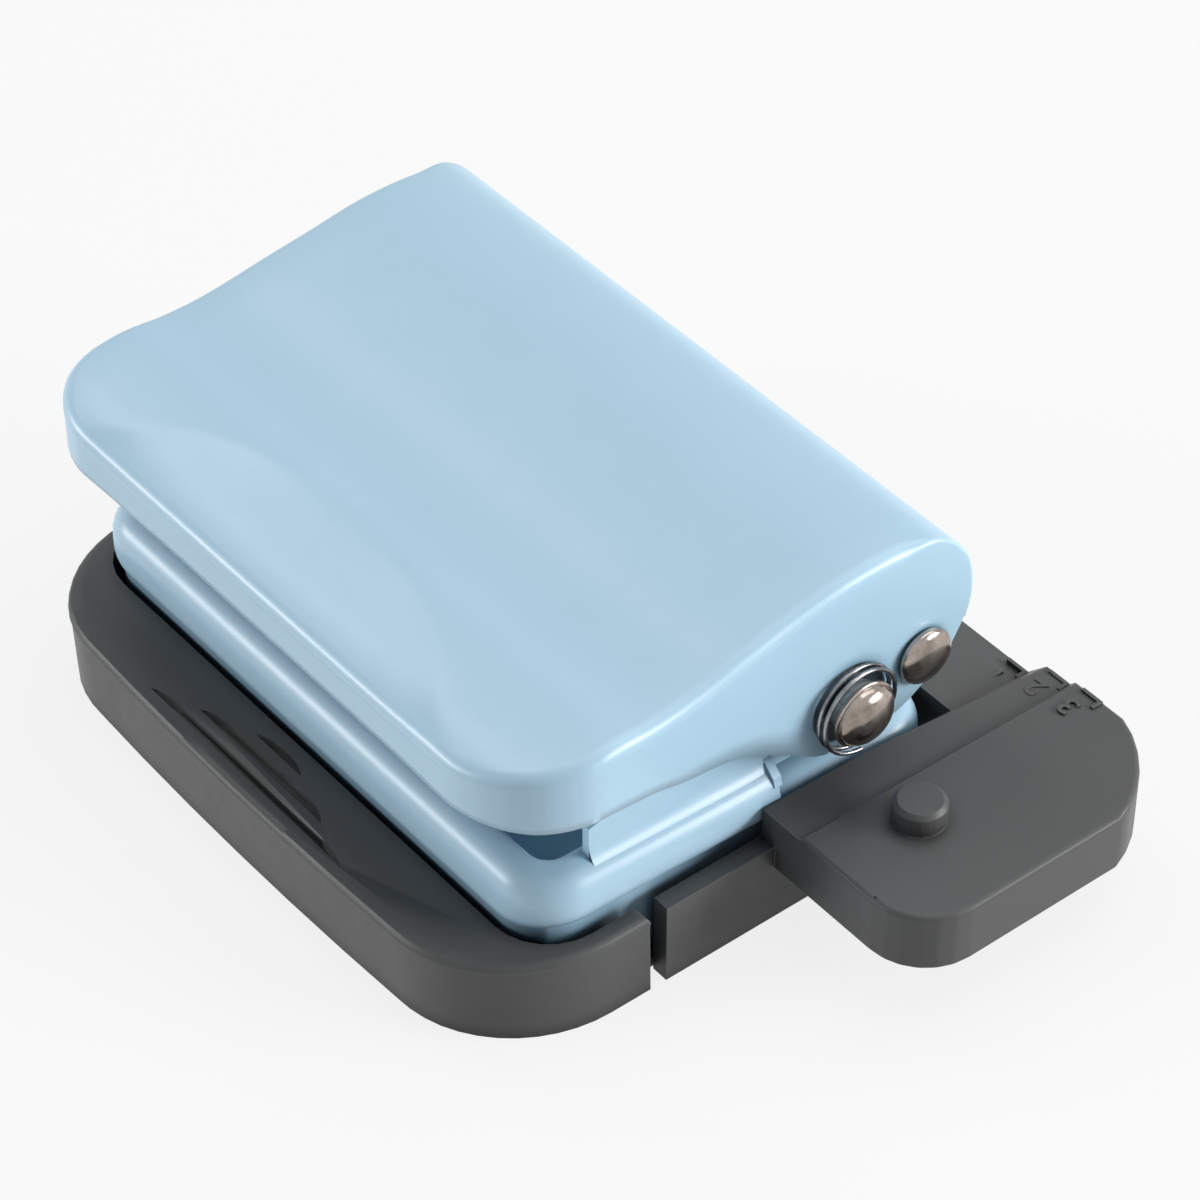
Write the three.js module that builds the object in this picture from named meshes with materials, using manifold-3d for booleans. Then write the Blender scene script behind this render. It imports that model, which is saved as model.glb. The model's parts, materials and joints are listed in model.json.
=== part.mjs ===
import * as THREE from 'three';
import { mergeVertices } from 'three/addons/utils/BufferGeometryUtils.js';
import Module from 'manifold-3d';

// Six hole punch for loose-leaf paper. Lengths are millimetres, angles are radians.
// X runs along the row of punches, +Y points to the side where the paper goes in, +Z is up.
// Places count from the middle of the punch row in x and y, and from the table in z.
// The press rod lies rodLift above the throat, and the pivot, ears, bracket and handle follow it.

const wasm = await Module();
wasm.setup();

// Shared sizes
const sheet = 1.0;
const gap = 0.3;
const overrun = 2;
const roundSegments = 24;
const smallSegments = 12;
const cornerSegments = 6;

// Punch row and its drive
const punchCount = 6;
const punchPitch = 9.5;
const punchRadius = 3.0;
const tipRecess = 0.2;
const tipNotch = 0.9;
const pivotBack = 9.27;
const pivotRise = 1.1;
const pivotRadius = 2.0;
const rodForward = 0.43;
const rodLift = 7.8;
const rodRadius = 1.5;
const pressAngle = 17.5 * Math.PI / 180;

// Frame: a pressed steel pan with two ears, its sides as far out as the punch row needs
const frameSideReach = 15.55;
const frameFront = 39.1;
const frameRear = 14.6;
const frameCorner = 6.5;
const shoulderRadius = 3.5;
const rimTop = 18.0;
const rimWidth = 3.3;
const throatFloor = 13.7;
const throatHeight = 2.2;
const throatDepth = 7.5;
const earInset = 2.3;
const earFront = 30.8;
const earFrontRise = 3.6;
const earBossRadius = 4.8;
const earBendForward = 12.0;
const earOverRod = 2.5;

// Die plate and its rivets
const dieThickness = 4.2;
const dieFlange = 1.6;
const dieMargin = 1.7;
const dieFlangeReach = 4.5;
const dieRivetRadius = 0.9;
const dieRivetHeadRadius = 1.6;
const dieRivetHead = 0.6;

// Punch bracket: a channel between the ears, riveted to them
const bracketSheet = 1.2;
const rodHeadroom = 0.8;
const bracketRear = 5.0;
const bracketTab = 3.2;
const rivetRadius = 1.0;
const rivetHeadRadius = 1.6;
const rivetHead = 0.6;

// Punch springs and their clips
const springLength = 5.6;
const springWire = 0.6;
const springTurns = 3.5;
const springClearance = 0.45;
const clipThickness = 0.6;
const clipReach = 1.4;
const clipMouth = 3.6;
const clipGroove = 0.7;
const punchTopMargin = 1.0;

// Handle shell
const handleLength = 60.0;
const handleRear = 16.1;
const handleHeadroom = 4.2;
const skirtBottom = 17.9;
const skirtClearance = 0.4;
const handleFlare = 1.1;
const flareStart = 8.0;
const handleCorner = 11.5;

// Top line of the handle from front to rear and the lower edge of its skirts from rear to front,
// as shares of the handle's length and height
const topLineShares = [
  [0, 0.709], [0.03, 0.753], [0.098, 0.782], [0.203, 0.818], [0.282, 0.812], [0.348, 0.821],
  [0.415, 0.848], [0.49, 0.89], [0.57, 0.93], [0.637, 0.962], [0.703, 0.989], [0.773, 1],
  [0.837, 0.993], [0.888, 0.973], [0.923, 0.937], [0.955, 0.866], [0.985, 0.749], [1, 0.614],
  [0.998, 0.471], [0.988, 0.377],
];
const skirtLineShares = [
  [0.938, 0.211], [0.858, 0.049], [0.782, 0], [0.698, 0], [0.657, 0.027], [0.587, 0.148],
  [0.485, 0.309], [0.355, 0.377], [0.17, 0.453], [0, 0.453],
];

// Heads of the pivot pin, the spacers on it, and the bushing, coil and cap on each end of the press rod
const pivotHeadRadius = 3.3;
const pivotHeadRim = 0.4;
const pivotHeadDome = 1.1;
const spacerRadius = 4.0;
const bushingRadius = 3.0;
const bushingLength = 1.4;
const capRadius = 3.85;
const capRim = 0.4;
const capDome = 1.9;
const capSocket = 1.2;
const coilWire = 0.5;
const coilTurns = 1.75;
const coilRadius = 4.9;
const coilPitch = 0.93;
const coilNarrowing = 0.1;

// Chip tray
const trayFloor = 1.2;
const trayTop = 10.3;
const sideWall = 2.1;
const lipWidth = 9.1;
const lipBow = 1.9;
const trayCorner = 15.0;
const trayEdge = 0.9;
const traySideReach = 12.8;
const trayWall = 1.8;
const trayRib = 1.2;
const lipCells = 8;
const binInset = 1.9;
const binWall = 1.2;
const binHeight = 5.8;
const stripeDepth = 0.6;
const stripeShift = 0.5;
const hingeInset = 5.5;
const hingeHeight = 3.6;
const hingeRadius = 1.2;
const lugWidth = 4.0;
const lugWall = 1.1;
const lugPlaceShare = 0.62;

// Three nested stripes pressed into the lip: the half lengths of the long and the short side,
// then where these sides lie across the lip, as shares of its width
const stripeHalfLengths = [[17.0, 14.2], [10.8, 7.9], [4.1, 1.4]];
const stripeAcrossShares = [[0.78, 0.66], [0.55, 0.42], [0.28, 0.16]];

// Paper gauge: side walls, rear shelf, and the wing with its two stops and its peg
const slit = 2.0;
const shelfClearance = 0.6;
const shelfDepth = 11.9;
const shelfHeight = 10.4;
const shelfRise = 2.0;
const shelfCorner = 8.0;
const wingReach = 21.6;
const wingFront = 10.5;
const wingTop = 14.25;
const wingThickness = 7.0;
const wingFrontCorner = 7.0;
const wingRearCorner = 10.5;
const ledgeDrop = 1.15;
const ledgeRise = 0.85;
const firstStop = 40.0;
const secondStop = 45.4;
const pegPlace = 50.6;
const pegBack = 0.8;
const pegRadius = 2.9;
const pegHeight = 2.7;
const pegChamfer = 0.5;
const gaugeWall = 1.8;
const gaugeRib = 1.2;
const bossWall = 4.0;
const wingCellsAlong = 4;
const shelfCells = 8;
const screwRadius = 1.2;
const screwHeadRadius = 2.2;
const screwHead = 1.2;
const screwPlaceShare = 0.35;
const screwHeight = 6.6;
const screwBite = 3.4;

// Sizes that follow from these
const frameFoot = trayFloor + gap;
const throatRoof = throatFloor + throatHeight;
const rodHeight = throatRoof + rodLift;
const pivotHeight = rodHeight + pivotRise;
const plateUnder = throatFloor - sheet;
const rowHalf = punchPitch * (punchCount - 1) / 2;
const frameHalfWidth = rowHalf + frameSideReach;
const earOuter = frameHalfWidth - earInset;
const earInner = earOuter - sheet;
const punchPlaces = Array.from({ length: punchCount }, (_, i) => i * punchPitch - rowHalf);
const dieHalfLength = rowHalf + punchRadius + dieMargin;
const dieHalfWidth = punchRadius + dieMargin;
const dieFoot = throatFloor - dieThickness;
const dieRivetPlace = dieHalfLength + dieFlangeReach / 2;
const bracketFront = throatDepth - gap;
const bracketTop = rodHeight + rodRadius + rodHeadroom + bracketSheet;
const bracketHeight = bracketTop - throatRoof;
const bracketEnd = earInner - gap;
const rivetBack = bracketSheet + bracketTab / 2 - bracketFront;
const rivetHeights = [throatRoof + bracketHeight / 3, bracketTop - bracketHeight / 3];
const springFoot = bracketTop + gap;
const springRadius = punchRadius + springClearance + springWire / 2;
const clipFoot = springFoot + springLength + gap;
const clipRadius = punchRadius + clipReach;
const punchFoot = throatRoof + tipRecess;
const punchTop = clipFoot + clipThickness + punchTopMargin;
const handleFront = handleRear - handleLength;
const handleHalfWidth = frameHalfWidth + skirtClearance + sheet;
const handleTop = punchTop + handleHeadroom + sheet;
const handleHeight = handleTop - skirtBottom;
const skirtInner = handleHalfWidth - sheet;
const bushingStart = handleHalfWidth + gap;
const capStart = bushingStart + bushingLength + gap;
const capTip = capStart + capRim + capDome;
const innerHalf = frameHalfWidth + gap;
const outerHalf = innerHalf + sideWall;
const lipInner = frameFront + gap;
const lipOuter = lipInner + lipWidth;
const traySideEnd = lipInner - traySideReach;
const hingeBack = frameRear - hingeInset;
const lugRadius = hingeRadius + gap + lugWall;
const lugPlace = frameHalfWidth * lugPlaceShare;
const floorRear = hingeBack - lugRadius;
const shelfFront = frameRear + shelfClearance;
const gaugeRear = shelfFront + shelfDepth;
const gaugeStart = traySideEnd - slit;
const wingRight = outerHalf + wingReach;
const wingUnder = wingTop - wingThickness;
const ledgeTop = wingTop - ledgeDrop;
const wingLength = gaugeRear + wingFront;
const screwPlace = frameHalfWidth * screwPlaceShare;

// Materials
const look = (color, roughness, metalness) => new THREE.MeshStandardMaterial({ color, roughness, metalness });
const paint = look(0xa9cce2, 0.4, 0.1);
const plastic = look(0x55585a, 0.5, 0.0);
const steel = look(0xb4b2ae, 0.35, 1.0);
const nickel = look(0x9c9189, 0.2, 1.0);
const springSteel = look(0x8d8f92, 0.3, 1.0);

// Building blocks

function solidOf(geometry) {
  geometry.deleteAttribute('normal');
  geometry.deleteAttribute('uv');
  const merged = mergeVertices(geometry);
  const corners = merged.index.array;
  const triangles = [];
  for (let i = 0; i < corners.length; i += 3) {
    const [a, b, c] = [corners[i], corners[i + 1], corners[i + 2]];
    if (a !== b && b !== c && c !== a) triangles.push(a, b, c);
  }
  const vertProperties = new Float32Array(merged.attributes.position.array);
  return new wasm.Manifold(new wasm.Mesh({ numProp: 3, vertProperties, triVerts: new Uint32Array(triangles) }));
}

function geometryOf(solid) {
  const mesh = solid.getMesh();
  const geometry = new THREE.BufferGeometry();
  geometry.setAttribute('position', new THREE.BufferAttribute(new Float32Array(mesh.vertProperties), 3));
  geometry.setIndex(new THREE.BufferAttribute(new Uint32Array(mesh.triVerts), 1));
  geometry.computeVertexNormals();
  return geometry;
}

function box(x0, x1, y0, y1, z0, z1) {
  const geometry = new THREE.BoxGeometry(x1 - x0, y1 - y0, z1 - z0);
  geometry.translate((x0 + x1) / 2, (y0 + y1) / 2, (z0 + z1) / 2);
  return solidOf(geometry);
}

function extruded(outline, depth) {
  return new THREE.ExtrudeGeometry(outline, { depth, bevelEnabled: false, curveSegments: cornerSegments });
}

// An outline in x and y, raised from z0 to z1
function raised(outline, z0, z1) {
  return solidOf(extruded(outline, z1 - z0).translate(0, 0, z0));
}

// An outline in x and y with an upright wall from z0 to z1 and a rounded edge above it
function raisedRound(outlineAt, round, z0, z1) {
  const geometry = new THREE.ExtrudeGeometry(outlineAt(round), {
    depth: z1 - z0, bevelThickness: round, bevelSize: round, bevelSegments: 3, curveSegments: cornerSegments,
  });
  geometry.translate(0, 0, z0);
  const reach = 2 * (frameHalfWidth + frameFront);
  return solidOf(geometry).intersect(box(-reach, reach, -reach, reach, z0, z1 + 2 * round));
}

// An outline in y and z, drawn along x from x0 to x1
function drawnAlongX(outline, x0, x1) {
  const place = new THREE.Matrix4().set(0, 0, 1, x0, 1, 0, 0, 0, 0, 1, 0, 0, 0, 0, 0, 1);
  return solidOf(extruded(outline, x1 - x0).applyMatrix4(place));
}

// An outline in x and z, drawn along the gauge, that rises by slope on its way from the rear to the front
function drawnSloping(outline, slope) {
  const front = -wingFront - overrun;
  const rear = gaugeRear + overrun;
  const place = new THREE.Matrix4().set(1, 0, 0, 0, 0, 0, -1, rear, 0, 1, 0, 0, 0, 0, 0, 1);
  const lean = new THREE.Matrix4().set(1, 0, 0, 0, 0, 1, 0, 0, 0, -slope, 1, slope * gaugeRear, 0, 0, 0, 1);
  return solidOf(extruded(outline, rear - front).applyMatrix4(place).applyMatrix4(lean));
}

const alongX = new THREE.Vector3(1, 0, 0);
const againstX = new THREE.Vector3(-1, 0, 0);
const alongY = new THREE.Vector3(0, 1, 0);
const alongZ = new THREE.Vector3(0, 0, 1);

// A turned piece: a profile of radii and heights, its axis starting at x, y, z
function turned(profile, axis, x, y, z, segments = roundSegments) {
  const points = profile.map(([radius, height]) => new THREE.Vector2(radius, height));
  const turn = new THREE.Quaternion().setFromUnitVectors(alongY, axis);
  const geometry = new THREE.LatheGeometry(points, segments).applyQuaternion(turn);
  return solidOf(geometry.translate(x, y, z));
}

function rod(radius, length, axis, x, y, z, segments = roundSegments) {
  return turned([[0, 0], [radius, 0], [radius, length], [0, length]], axis, x, y, z, segments);
}

function ring(inner, outer, length, axis, x, y, z) {
  return turned([[inner, 0], [outer, 0], [outer, length], [inner, length], [inner, 0]], axis, x, y, z);
}

// A bore along x, centred at y and z, that passes both sides of the part
function boreAcross(radius, y, z, segments = roundSegments) {
  const reach = outerHalf + overrun;
  return rod(radius, 2 * reach, alongX, -reach, y, z, segments);
}

// The rounded top of a head: radii and heights of a quarter of an ellipse
function domePoints(radius, start, height) {
  const steps = 5;
  return Array.from({ length: steps + 1 }, (_, i) => {
    const angle = (Math.PI / 2) * (i / steps);
    return [i === steps ? 0 : radius * Math.cos(angle), start + height * Math.sin(angle)];
  });
}

const outlineOf = (points) => new THREE.Shape(points.map(([a, b]) => new THREE.Vector2(a, b)));

// A rectangle with its own radius at each corner: front left, front right, rear right, rear left
function roundedOutline(x0, x1, y0, y1, radii) {
  const corners = [[x0, y0, Math.PI], [x1, y0, Math.PI * 1.5], [x1, y1, 0], [x0, y1, Math.PI / 2]];
  const points = corners.flatMap(([x, y, start], i) => {
    const radius = radii[i];
    if (radius === 0) return [[x, y]];
    const centreX = x === x0 ? x + radius : x - radius;
    const centreY = y === y0 ? y + radius : y - radius;
    return Array.from({ length: cornerSegments + 1 }, (_, k) => {
      const angle = start + (Math.PI / 2) * (k / cornerSegments);
      return [centreX + radius * Math.cos(angle), centreY + radius * Math.sin(angle)];
    });
  });
  return outlineOf(points);
}

const cut = (solid, tools) => tools.reduce((left, tool) => left.subtract(tool), solid);
const joined = (solids) => solids.reduce((whole, solid) => whole.add(solid));
const bothSides = [-1, 1];
const handOf = (side) => (side < 0 ? 'left' : 'right');

const part = new THREE.Group();

function addMesh(name, geometry, material) {
  const mesh = new THREE.Mesh(geometry, material.clone());
  mesh.name = name;
  part.add(mesh);
}

const addPiece = (name, solid, material) => addMesh(name, geometryOf(solid), material);

// A wire of five sides through the given points; outward gives the way its rings face at each point
function wire(points, outward, radius) {
  const sides = 5;
  const positions = [];
  const index = [];
  points.forEach((point, i) => {
    const before = points[Math.max(i - 1, 0)];
    const after = points[Math.min(i + 1, points.length - 1)];
    const tangent = after.clone().sub(before).normalize();
    const binormal = tangent.clone().cross(outward[i]).normalize();
    const normal = binormal.clone().cross(tangent);
    for (let k = 0; k < sides; k++) {
      const angle = (2 * Math.PI * k) / sides;
      const corner = point.clone().addScaledVector(normal, radius * Math.cos(angle));
      corner.addScaledVector(binormal, radius * Math.sin(angle));
      positions.push(corner.x, corner.y, corner.z);
    }
  });
  for (let i = 0; i < points.length - 1; i++) {
    for (let k = 0; k < sides; k++) {
      const a = i * sides + k;
      const b = i * sides + (k + 1) % sides;
      index.push(a, b, a + sides, b, b + sides, a + sides);
    }
  }
  const last = (points.length - 1) * sides;
  for (let k = 1; k < sides - 1; k++) {
    index.push(0, k + 1, k, last, last + k, last + k + 1);
  }
  const geometry = new THREE.BufferGeometry();
  geometry.setAttribute('position', new THREE.BufferAttribute(new Float32Array(positions), 3));
  geometry.setIndex(index);
  geometry.computeVertexNormals();
  return geometry;
}

// The least gap of a wire to itself, over points that are at least half a turn apart
function leastGap(points, thickness) {
  const parts = 6;
  const fine = [];
  for (let i = 0; i < points.length - 1; i++) {
    for (let k = 0; k < parts; k++) fine.push(points[i].clone().lerp(points[i + 1], k / parts));
  }
  let least = Infinity;
  for (let i = 0; i < fine.length; i++) {
    for (let j = i + 4 * parts; j < fine.length; j++) least = Math.min(least, fine[i].distanceTo(fine[j]));
  }
  return least - thickness;
}

// A coil along z from z = 0 whose radius narrows turn by turn, with a straight end at both ends
function coil(name, radius, narrowing, pitch, turns, thickness, startAngle) {
  const steps = Math.round(8 * turns);
  const points = [];
  const outward = [];
  for (let i = 0; i <= steps; i++) {
    const turn = i / 8;
    const angle = startAngle + 2 * Math.PI * turn;
    outward.push(new THREE.Vector3(Math.cos(angle), Math.sin(angle), 0));
    points.push(outward[i].clone().multiplyScalar(radius - narrowing * turn).setZ(pitch * turn));
  }
  const straight = (i, way) => {
    const around = new THREE.Vector3(-outward[i].y, outward[i].x, 0);
    return points[i].clone().addScaledVector(around, way * thickness);
  };
  const path = [straight(0, -1), ...points, straight(steps, 1)];
  const facing = [outward[0], ...outward, outward[steps]];
  console.log(`${name}: least gap between turns ${leastGap(path, thickness).toFixed(2)} mm`);
  return wire(path, facing, thickness / 2);
}

// Handle shell: the side view drawn across and trimmed to the plan, less the same one sheet further in

const handlePoint = ([along, up]) => (
  new THREE.Vector2(handleFront + along * handleLength, skirtBottom + up * handleHeight)
);

function handlePlan(inset) {
  const rearHalf = handleHalfWidth - inset;
  const frontHalf = rearHalf + handleFlare;
  const front = handleFront + inset;
  const radius = handleCorner - inset;
  const outline = new THREE.Shape();
  outline.moveTo(rearHalf, handleRear + overrun);
  outline.lineTo(-rearHalf, handleRear + overrun);
  outline.lineTo(-rearHalf, -flareStart);
  outline.absarc(-frontHalf + radius, front + radius, radius, Math.PI, Math.PI * 1.5);
  outline.absarc(frontHalf - radius, front + radius, radius, -Math.PI / 2, 0);
  outline.lineTo(rearHalf, -flareStart);
  return outline;
}

// A line of points moved to its lower side by distance
function lowered(points, distance) {
  return points.map((point, i) => {
    const before = points[Math.max(i - 1, 0)];
    const after = points[Math.min(i + 1, points.length - 1)];
    const along = after.clone().sub(before).normalize();
    return new THREE.Vector2(point.x + along.y * distance, point.y - along.x * distance);
  });
}

function handleShell() {
  const half = outerHalf + handleFlare;
  const below = skirtBottom - overrun;
  const front = handleFront + sheet;
  const topLine = new THREE.SplineCurve(topLineShares.map(handlePoint)).getPoints(2 * topLineShares.length);
  const skirtLine = new THREE.SplineCurve(skirtLineShares.map(handlePoint)).getPoints(2 * skirtLineShares.length);
  const innerLine = lowered(topLine, sheet).filter((point) => point.x > front);
  const innerRear = innerLine[innerLine.length - 1];
  const innerOutline = new THREE.Shape([
    new THREE.Vector2(front, below), new THREE.Vector2(front, innerLine[0].y),
    ...innerLine, new THREE.Vector2(innerRear.x, below),
  ]);
  const outer = drawnAlongX(new THREE.Shape([...topLine, ...skirtLine]), -half, half);
  const plan = raised(handlePlan(0), below - overrun, handleTop + overrun);
  const innerPlan = raised(handlePlan(sheet), below - overrun, handleTop + overrun);
  const hollow = drawnAlongX(innerOutline, -half, half).intersect(innerPlan);
  return cut(outer.intersect(plan), [
    hollow,
    boreAcross(pivotRadius + gap, pivotBack, pivotHeight),
    boreAcross(rodRadius + gap, -rodForward, rodHeight),
  ]);
}

addPiece('handle_shell', handleShell(), paint);

// Press rod with its caps, bushings and wire coils, and the spacers on the pivot pin

const rodEnd = capStart + capSocket - gap;
addPiece('press_rod', rod(rodRadius, 2 * rodEnd, alongX, -rodEnd, -rodForward, rodHeight), steel);

for (const side of bothSides) {
  const hand = handOf(side);
  const outwards = side < 0 ? againstX : alongX;
  const socket = rodRadius + gap;
  const capProfile = [
    [0, capSocket], [socket, capSocket], [socket, 0], [capRadius, 0], ...domePoints(capRadius, capRim, capDome),
  ];
  addPiece(`press_cap_${hand}`, turned(capProfile, outwards, side * capStart, -rodForward, rodHeight), nickel);
  const bushing = ring(socket, bushingRadius, bushingLength, outwards, side * bushingStart, -rodForward, rodHeight);
  addPiece(`press_bushing_${hand}`, bushing, steel);

  // The outer end of the coil lies at the bottom
  const name = `press_coil_${hand}`;
  const startAngle = -2 * Math.PI * coilTurns;
  const shape = coil(name, coilRadius, coilNarrowing, coilPitch, coilTurns, coilWire, startAngle);
  shape.applyQuaternion(new THREE.Quaternion().setFromUnitVectors(alongZ, outwards));
  shape.translate(side * (bushingStart + coilWire / 2), -rodForward, rodHeight);
  addMesh(name, shape, springSteel);

  const spacerLength = skirtInner - earOuter - 2 * gap;
  const spacerStart = side * (earOuter + gap);
  const spacer = ring(pivotRadius + gap, spacerRadius, spacerLength, outwards, spacerStart, pivotBack, pivotHeight);
  addPiece(`pivot_spacer_${hand}`, spacer, steel);
}

// Pivot pin: a shaft across the punch with a domed head at each end

function pivotPin() {
  const start = handleHalfWidth + gap;
  const end = start + pivotHeadRim / 2;
  const head = [[0, 0], [pivotHeadRadius, 0], ...domePoints(pivotHeadRadius, pivotHeadRim, pivotHeadDome)];
  return joined([
    rod(pivotRadius, 2 * end, alongX, -end, pivotBack, pivotHeight),
    turned(head, alongX, start, pivotBack, pivotHeight),
    turned(head, againstX, -start, pivotBack, pivotHeight),
  ]);
}

addPiece('pivot_pin', pivotPin(), nickel);

// Frame: a pan with a rounded shoulder, high in front of the throat and low behind it, and two ears.
// The press rod swings round the pivot, so its slot in the ears runs from its rest place to its lowest.

const rodArm = new THREE.Vector2(-rodForward - pivotBack, rodHeight - pivotHeight);
const rodPressed = rodArm.clone().rotateAround(new THREE.Vector2(), pressAngle);
const rodDrop = rodArm.y - rodPressed.y;
const rodSwing = rodPressed.x - rodArm.x;

function rodSlot() {
  const reach = rodRadius + gap;
  const half = earOuter + overrun;
  const lowBack = -rodForward + rodSwing;
  const outline = outlineOf([
    [-rodForward - reach, rodHeight], [-rodForward - reach, rodHeight - rodDrop],
    [lowBack + reach, rodHeight - rodDrop], [lowBack + reach, rodHeight],
  ]);
  return joined([
    drawnAlongX(outline, -half, half),
    boreAcross(reach, -rodForward, rodHeight),
    boreAcross(reach, lowBack, rodHeight - rodDrop),
  ]);
}

function panBody(inset, foot) {
  const outlineAt = (round) => roundedOutline(
    -frameHalfWidth + inset + round, frameHalfWidth - inset - round,
    -frameFront + inset + round, frameRear - inset - round,
    Array(4).fill(frameCorner - inset - round),
  );
  const body = raisedRound(outlineAt, shoulderRadius - inset, foot, rimTop - shoulderRadius);
  const reach = frameHalfWidth + frameFront;
  const high = box(-reach, reach, -reach, -throatDepth - inset, foot, rimTop);
  const low = box(-reach, reach, -throatDepth - inset - overrun, reach, foot, throatFloor - inset);
  return body.intersect(high.add(low));
}

function ear(side) {
  const outline = outlineOf([
    [-earFront, rimTop - sheet], [-throatDepth - sheet, rimTop - sheet], [-throatDepth - sheet, throatRoof],
    [pivotBack, throatRoof], [pivotBack + earBossRadius, pivotHeight], [pivotBack, pivotHeight + earBossRadius],
    [-earBendForward, rodHeight + earOverRod], [-earFront, rimTop + earFrontRise],
  ]);
  const x0 = side < 0 ? -earOuter : earInner;
  return drawnAlongX(outline, x0, x0 + sheet).add(rod(earBossRadius, sheet, alongX, x0, pivotBack, pivotHeight));
}

function screwHole(side, start, length) {
  return rod(screwRadius + gap, length, alongY, side * screwPlace, start, screwHeight, smallSegments);
}

function dieRivetHole(side) {
  const length = dieThickness + 2 * overrun;
  return rod(dieRivetRadius + gap, length, alongZ, side * dieRivetPlace, 0, dieFoot - overrun, smallSegments);
}

function frameShell() {
  const outer = panBody(0, frameFoot);
  const reach = frameHalfWidth + frameFront;
  const recessFloor = outer.intersect(box(-reach, reach, -reach, -throatDepth, plateUnder, throatFloor));
  const recess = raised(
    roundedOutline(
      -frameHalfWidth + rimWidth, frameHalfWidth - rimWidth,
      -frameFront + rimWidth, -throatDepth - rimWidth, Array(4).fill(frameCorner - rimWidth),
    ),
    throatFloor, rimTop + overrun,
  );
  const window = box(
    -dieHalfLength - gap, dieHalfLength + gap, -dieHalfWidth - gap, dieHalfWidth + gap,
    plateUnder - overrun, throatFloor + overrun,
  );
  const pan = outer.subtract(panBody(sheet, frameFoot - overrun)).add(recessFloor).subtract(recess);
  return cut(joined([pan, ear(-1), ear(1)]), [
    window,
    rodSlot(),
    boreAcross(pivotRadius + gap, pivotBack, pivotHeight),
    boreAcross(hingeRadius + gap, hingeBack, hingeHeight, smallSegments),
    ...rivetHeights.map((z) => boreAcross(rivetRadius + gap, rivetBack, z, smallSegments)),
    ...bothSides.map((side) => screwHole(side, frameRear - sheet - overrun, sheet + 2 * overrun)),
    ...bothSides.map((side) => dieRivetHole(side)),
  ]);
}

addPiece('frame_shell', frameShell(), paint);

// Die plate: a block set flush in the window, with a flange that lies under the sheet

function diePlate() {
  const flangeHalf = dieHalfLength + dieFlangeReach;
  const flangeTop = plateUnder - gap;
  const block = box(-dieHalfLength, dieHalfLength, -dieHalfWidth, dieHalfWidth, dieFoot, throatFloor);
  const flange = box(-flangeHalf, flangeHalf, -dieHalfWidth, dieHalfWidth, flangeTop - dieFlange, flangeTop);
  const holes = punchPlaces.map((x) => (
    rod(punchRadius + gap, dieThickness + 2 * overrun, alongZ, x, 0, dieFoot - overrun)
  ));
  return cut(block.add(flange), [...holes, ...bothSides.map((side) => dieRivetHole(side))]);
}

function dieRivet(side) {
  const foot = plateUnder - dieFlange - 2 * gap - dieRivetHead;
  const length = throatFloor - foot;
  const profile = [
    [0, 0], [dieRivetHeadRadius, 0], [dieRivetHeadRadius, dieRivetHead], [dieRivetRadius, dieRivetHead],
    [dieRivetRadius, length], [0, length],
  ];
  return turned(profile, alongZ, side * dieRivetPlace, 0, foot, smallSegments);
}

addPiece('die_plate', diePlate(), steel);
for (const side of bothSides) addPiece(`die_rivet_${handOf(side)}`, dieRivet(side), steel);

// Punch bracket and its rivets

function punchBracket() {
  const webRear = bracketSheet - bracketFront;
  const tabRear = webRear + bracketTab;
  const tab = (side) => {
    const x0 = side < 0 ? -bracketEnd : bracketEnd - bracketSheet;
    return box(x0, x0 + bracketSheet, -bracketFront, tabRear, throatRoof, bracketTop);
  };
  const channel = joined([
    box(-bracketEnd, bracketEnd, -bracketFront, bracketRear, throatRoof, throatRoof + bracketSheet),
    box(-bracketEnd, bracketEnd, -bracketFront, webRear, throatRoof, bracketTop),
    box(-bracketEnd, bracketEnd, -bracketFront, bracketRear, bracketTop - bracketSheet, bracketTop),
    ...bothSides.map((side) => tab(side)),
  ]);
  const holes = punchPlaces.map((x) => (
    rod(punchRadius + gap, bracketHeight + 2 * overrun, alongZ, x, 0, throatRoof - overrun)
  ));
  const rivetHoles = rivetHeights.map((z) => boreAcross(rivetRadius + gap, rivetBack, z, smallSegments));
  return cut(channel, [...holes, ...rivetHoles]);
}

function bracketRivet(side, z) {
  const start = bracketEnd - bracketSheet - gap - rivetHead;
  const gripStart = rivetHead;
  const gripEnd = earOuter + gap - start;
  const end = gripEnd + rivetHead;
  const profile = [
    [0, 0], [rivetHeadRadius, 0], [rivetHeadRadius, gripStart], [rivetRadius, gripStart],
    [rivetRadius, gripEnd], [rivetHeadRadius, gripEnd], [rivetHeadRadius, end], [0, end],
  ];
  return turned(profile, side < 0 ? againstX : alongX, side * start, rivetBack, z, smallSegments);
}

addPiece('punch_bracket', punchBracket(), steel);
for (const side of bothSides) {
  rivetHeights.forEach((z, i) => {
    addPiece(`bracket_rivet_${handOf(side)}_${['lower', 'upper'][i]}`, bracketRivet(side, z), steel);
  });
}

// Punches, each with a cross slot for the press rod, a groove for its clip and a notched cutting end

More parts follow.
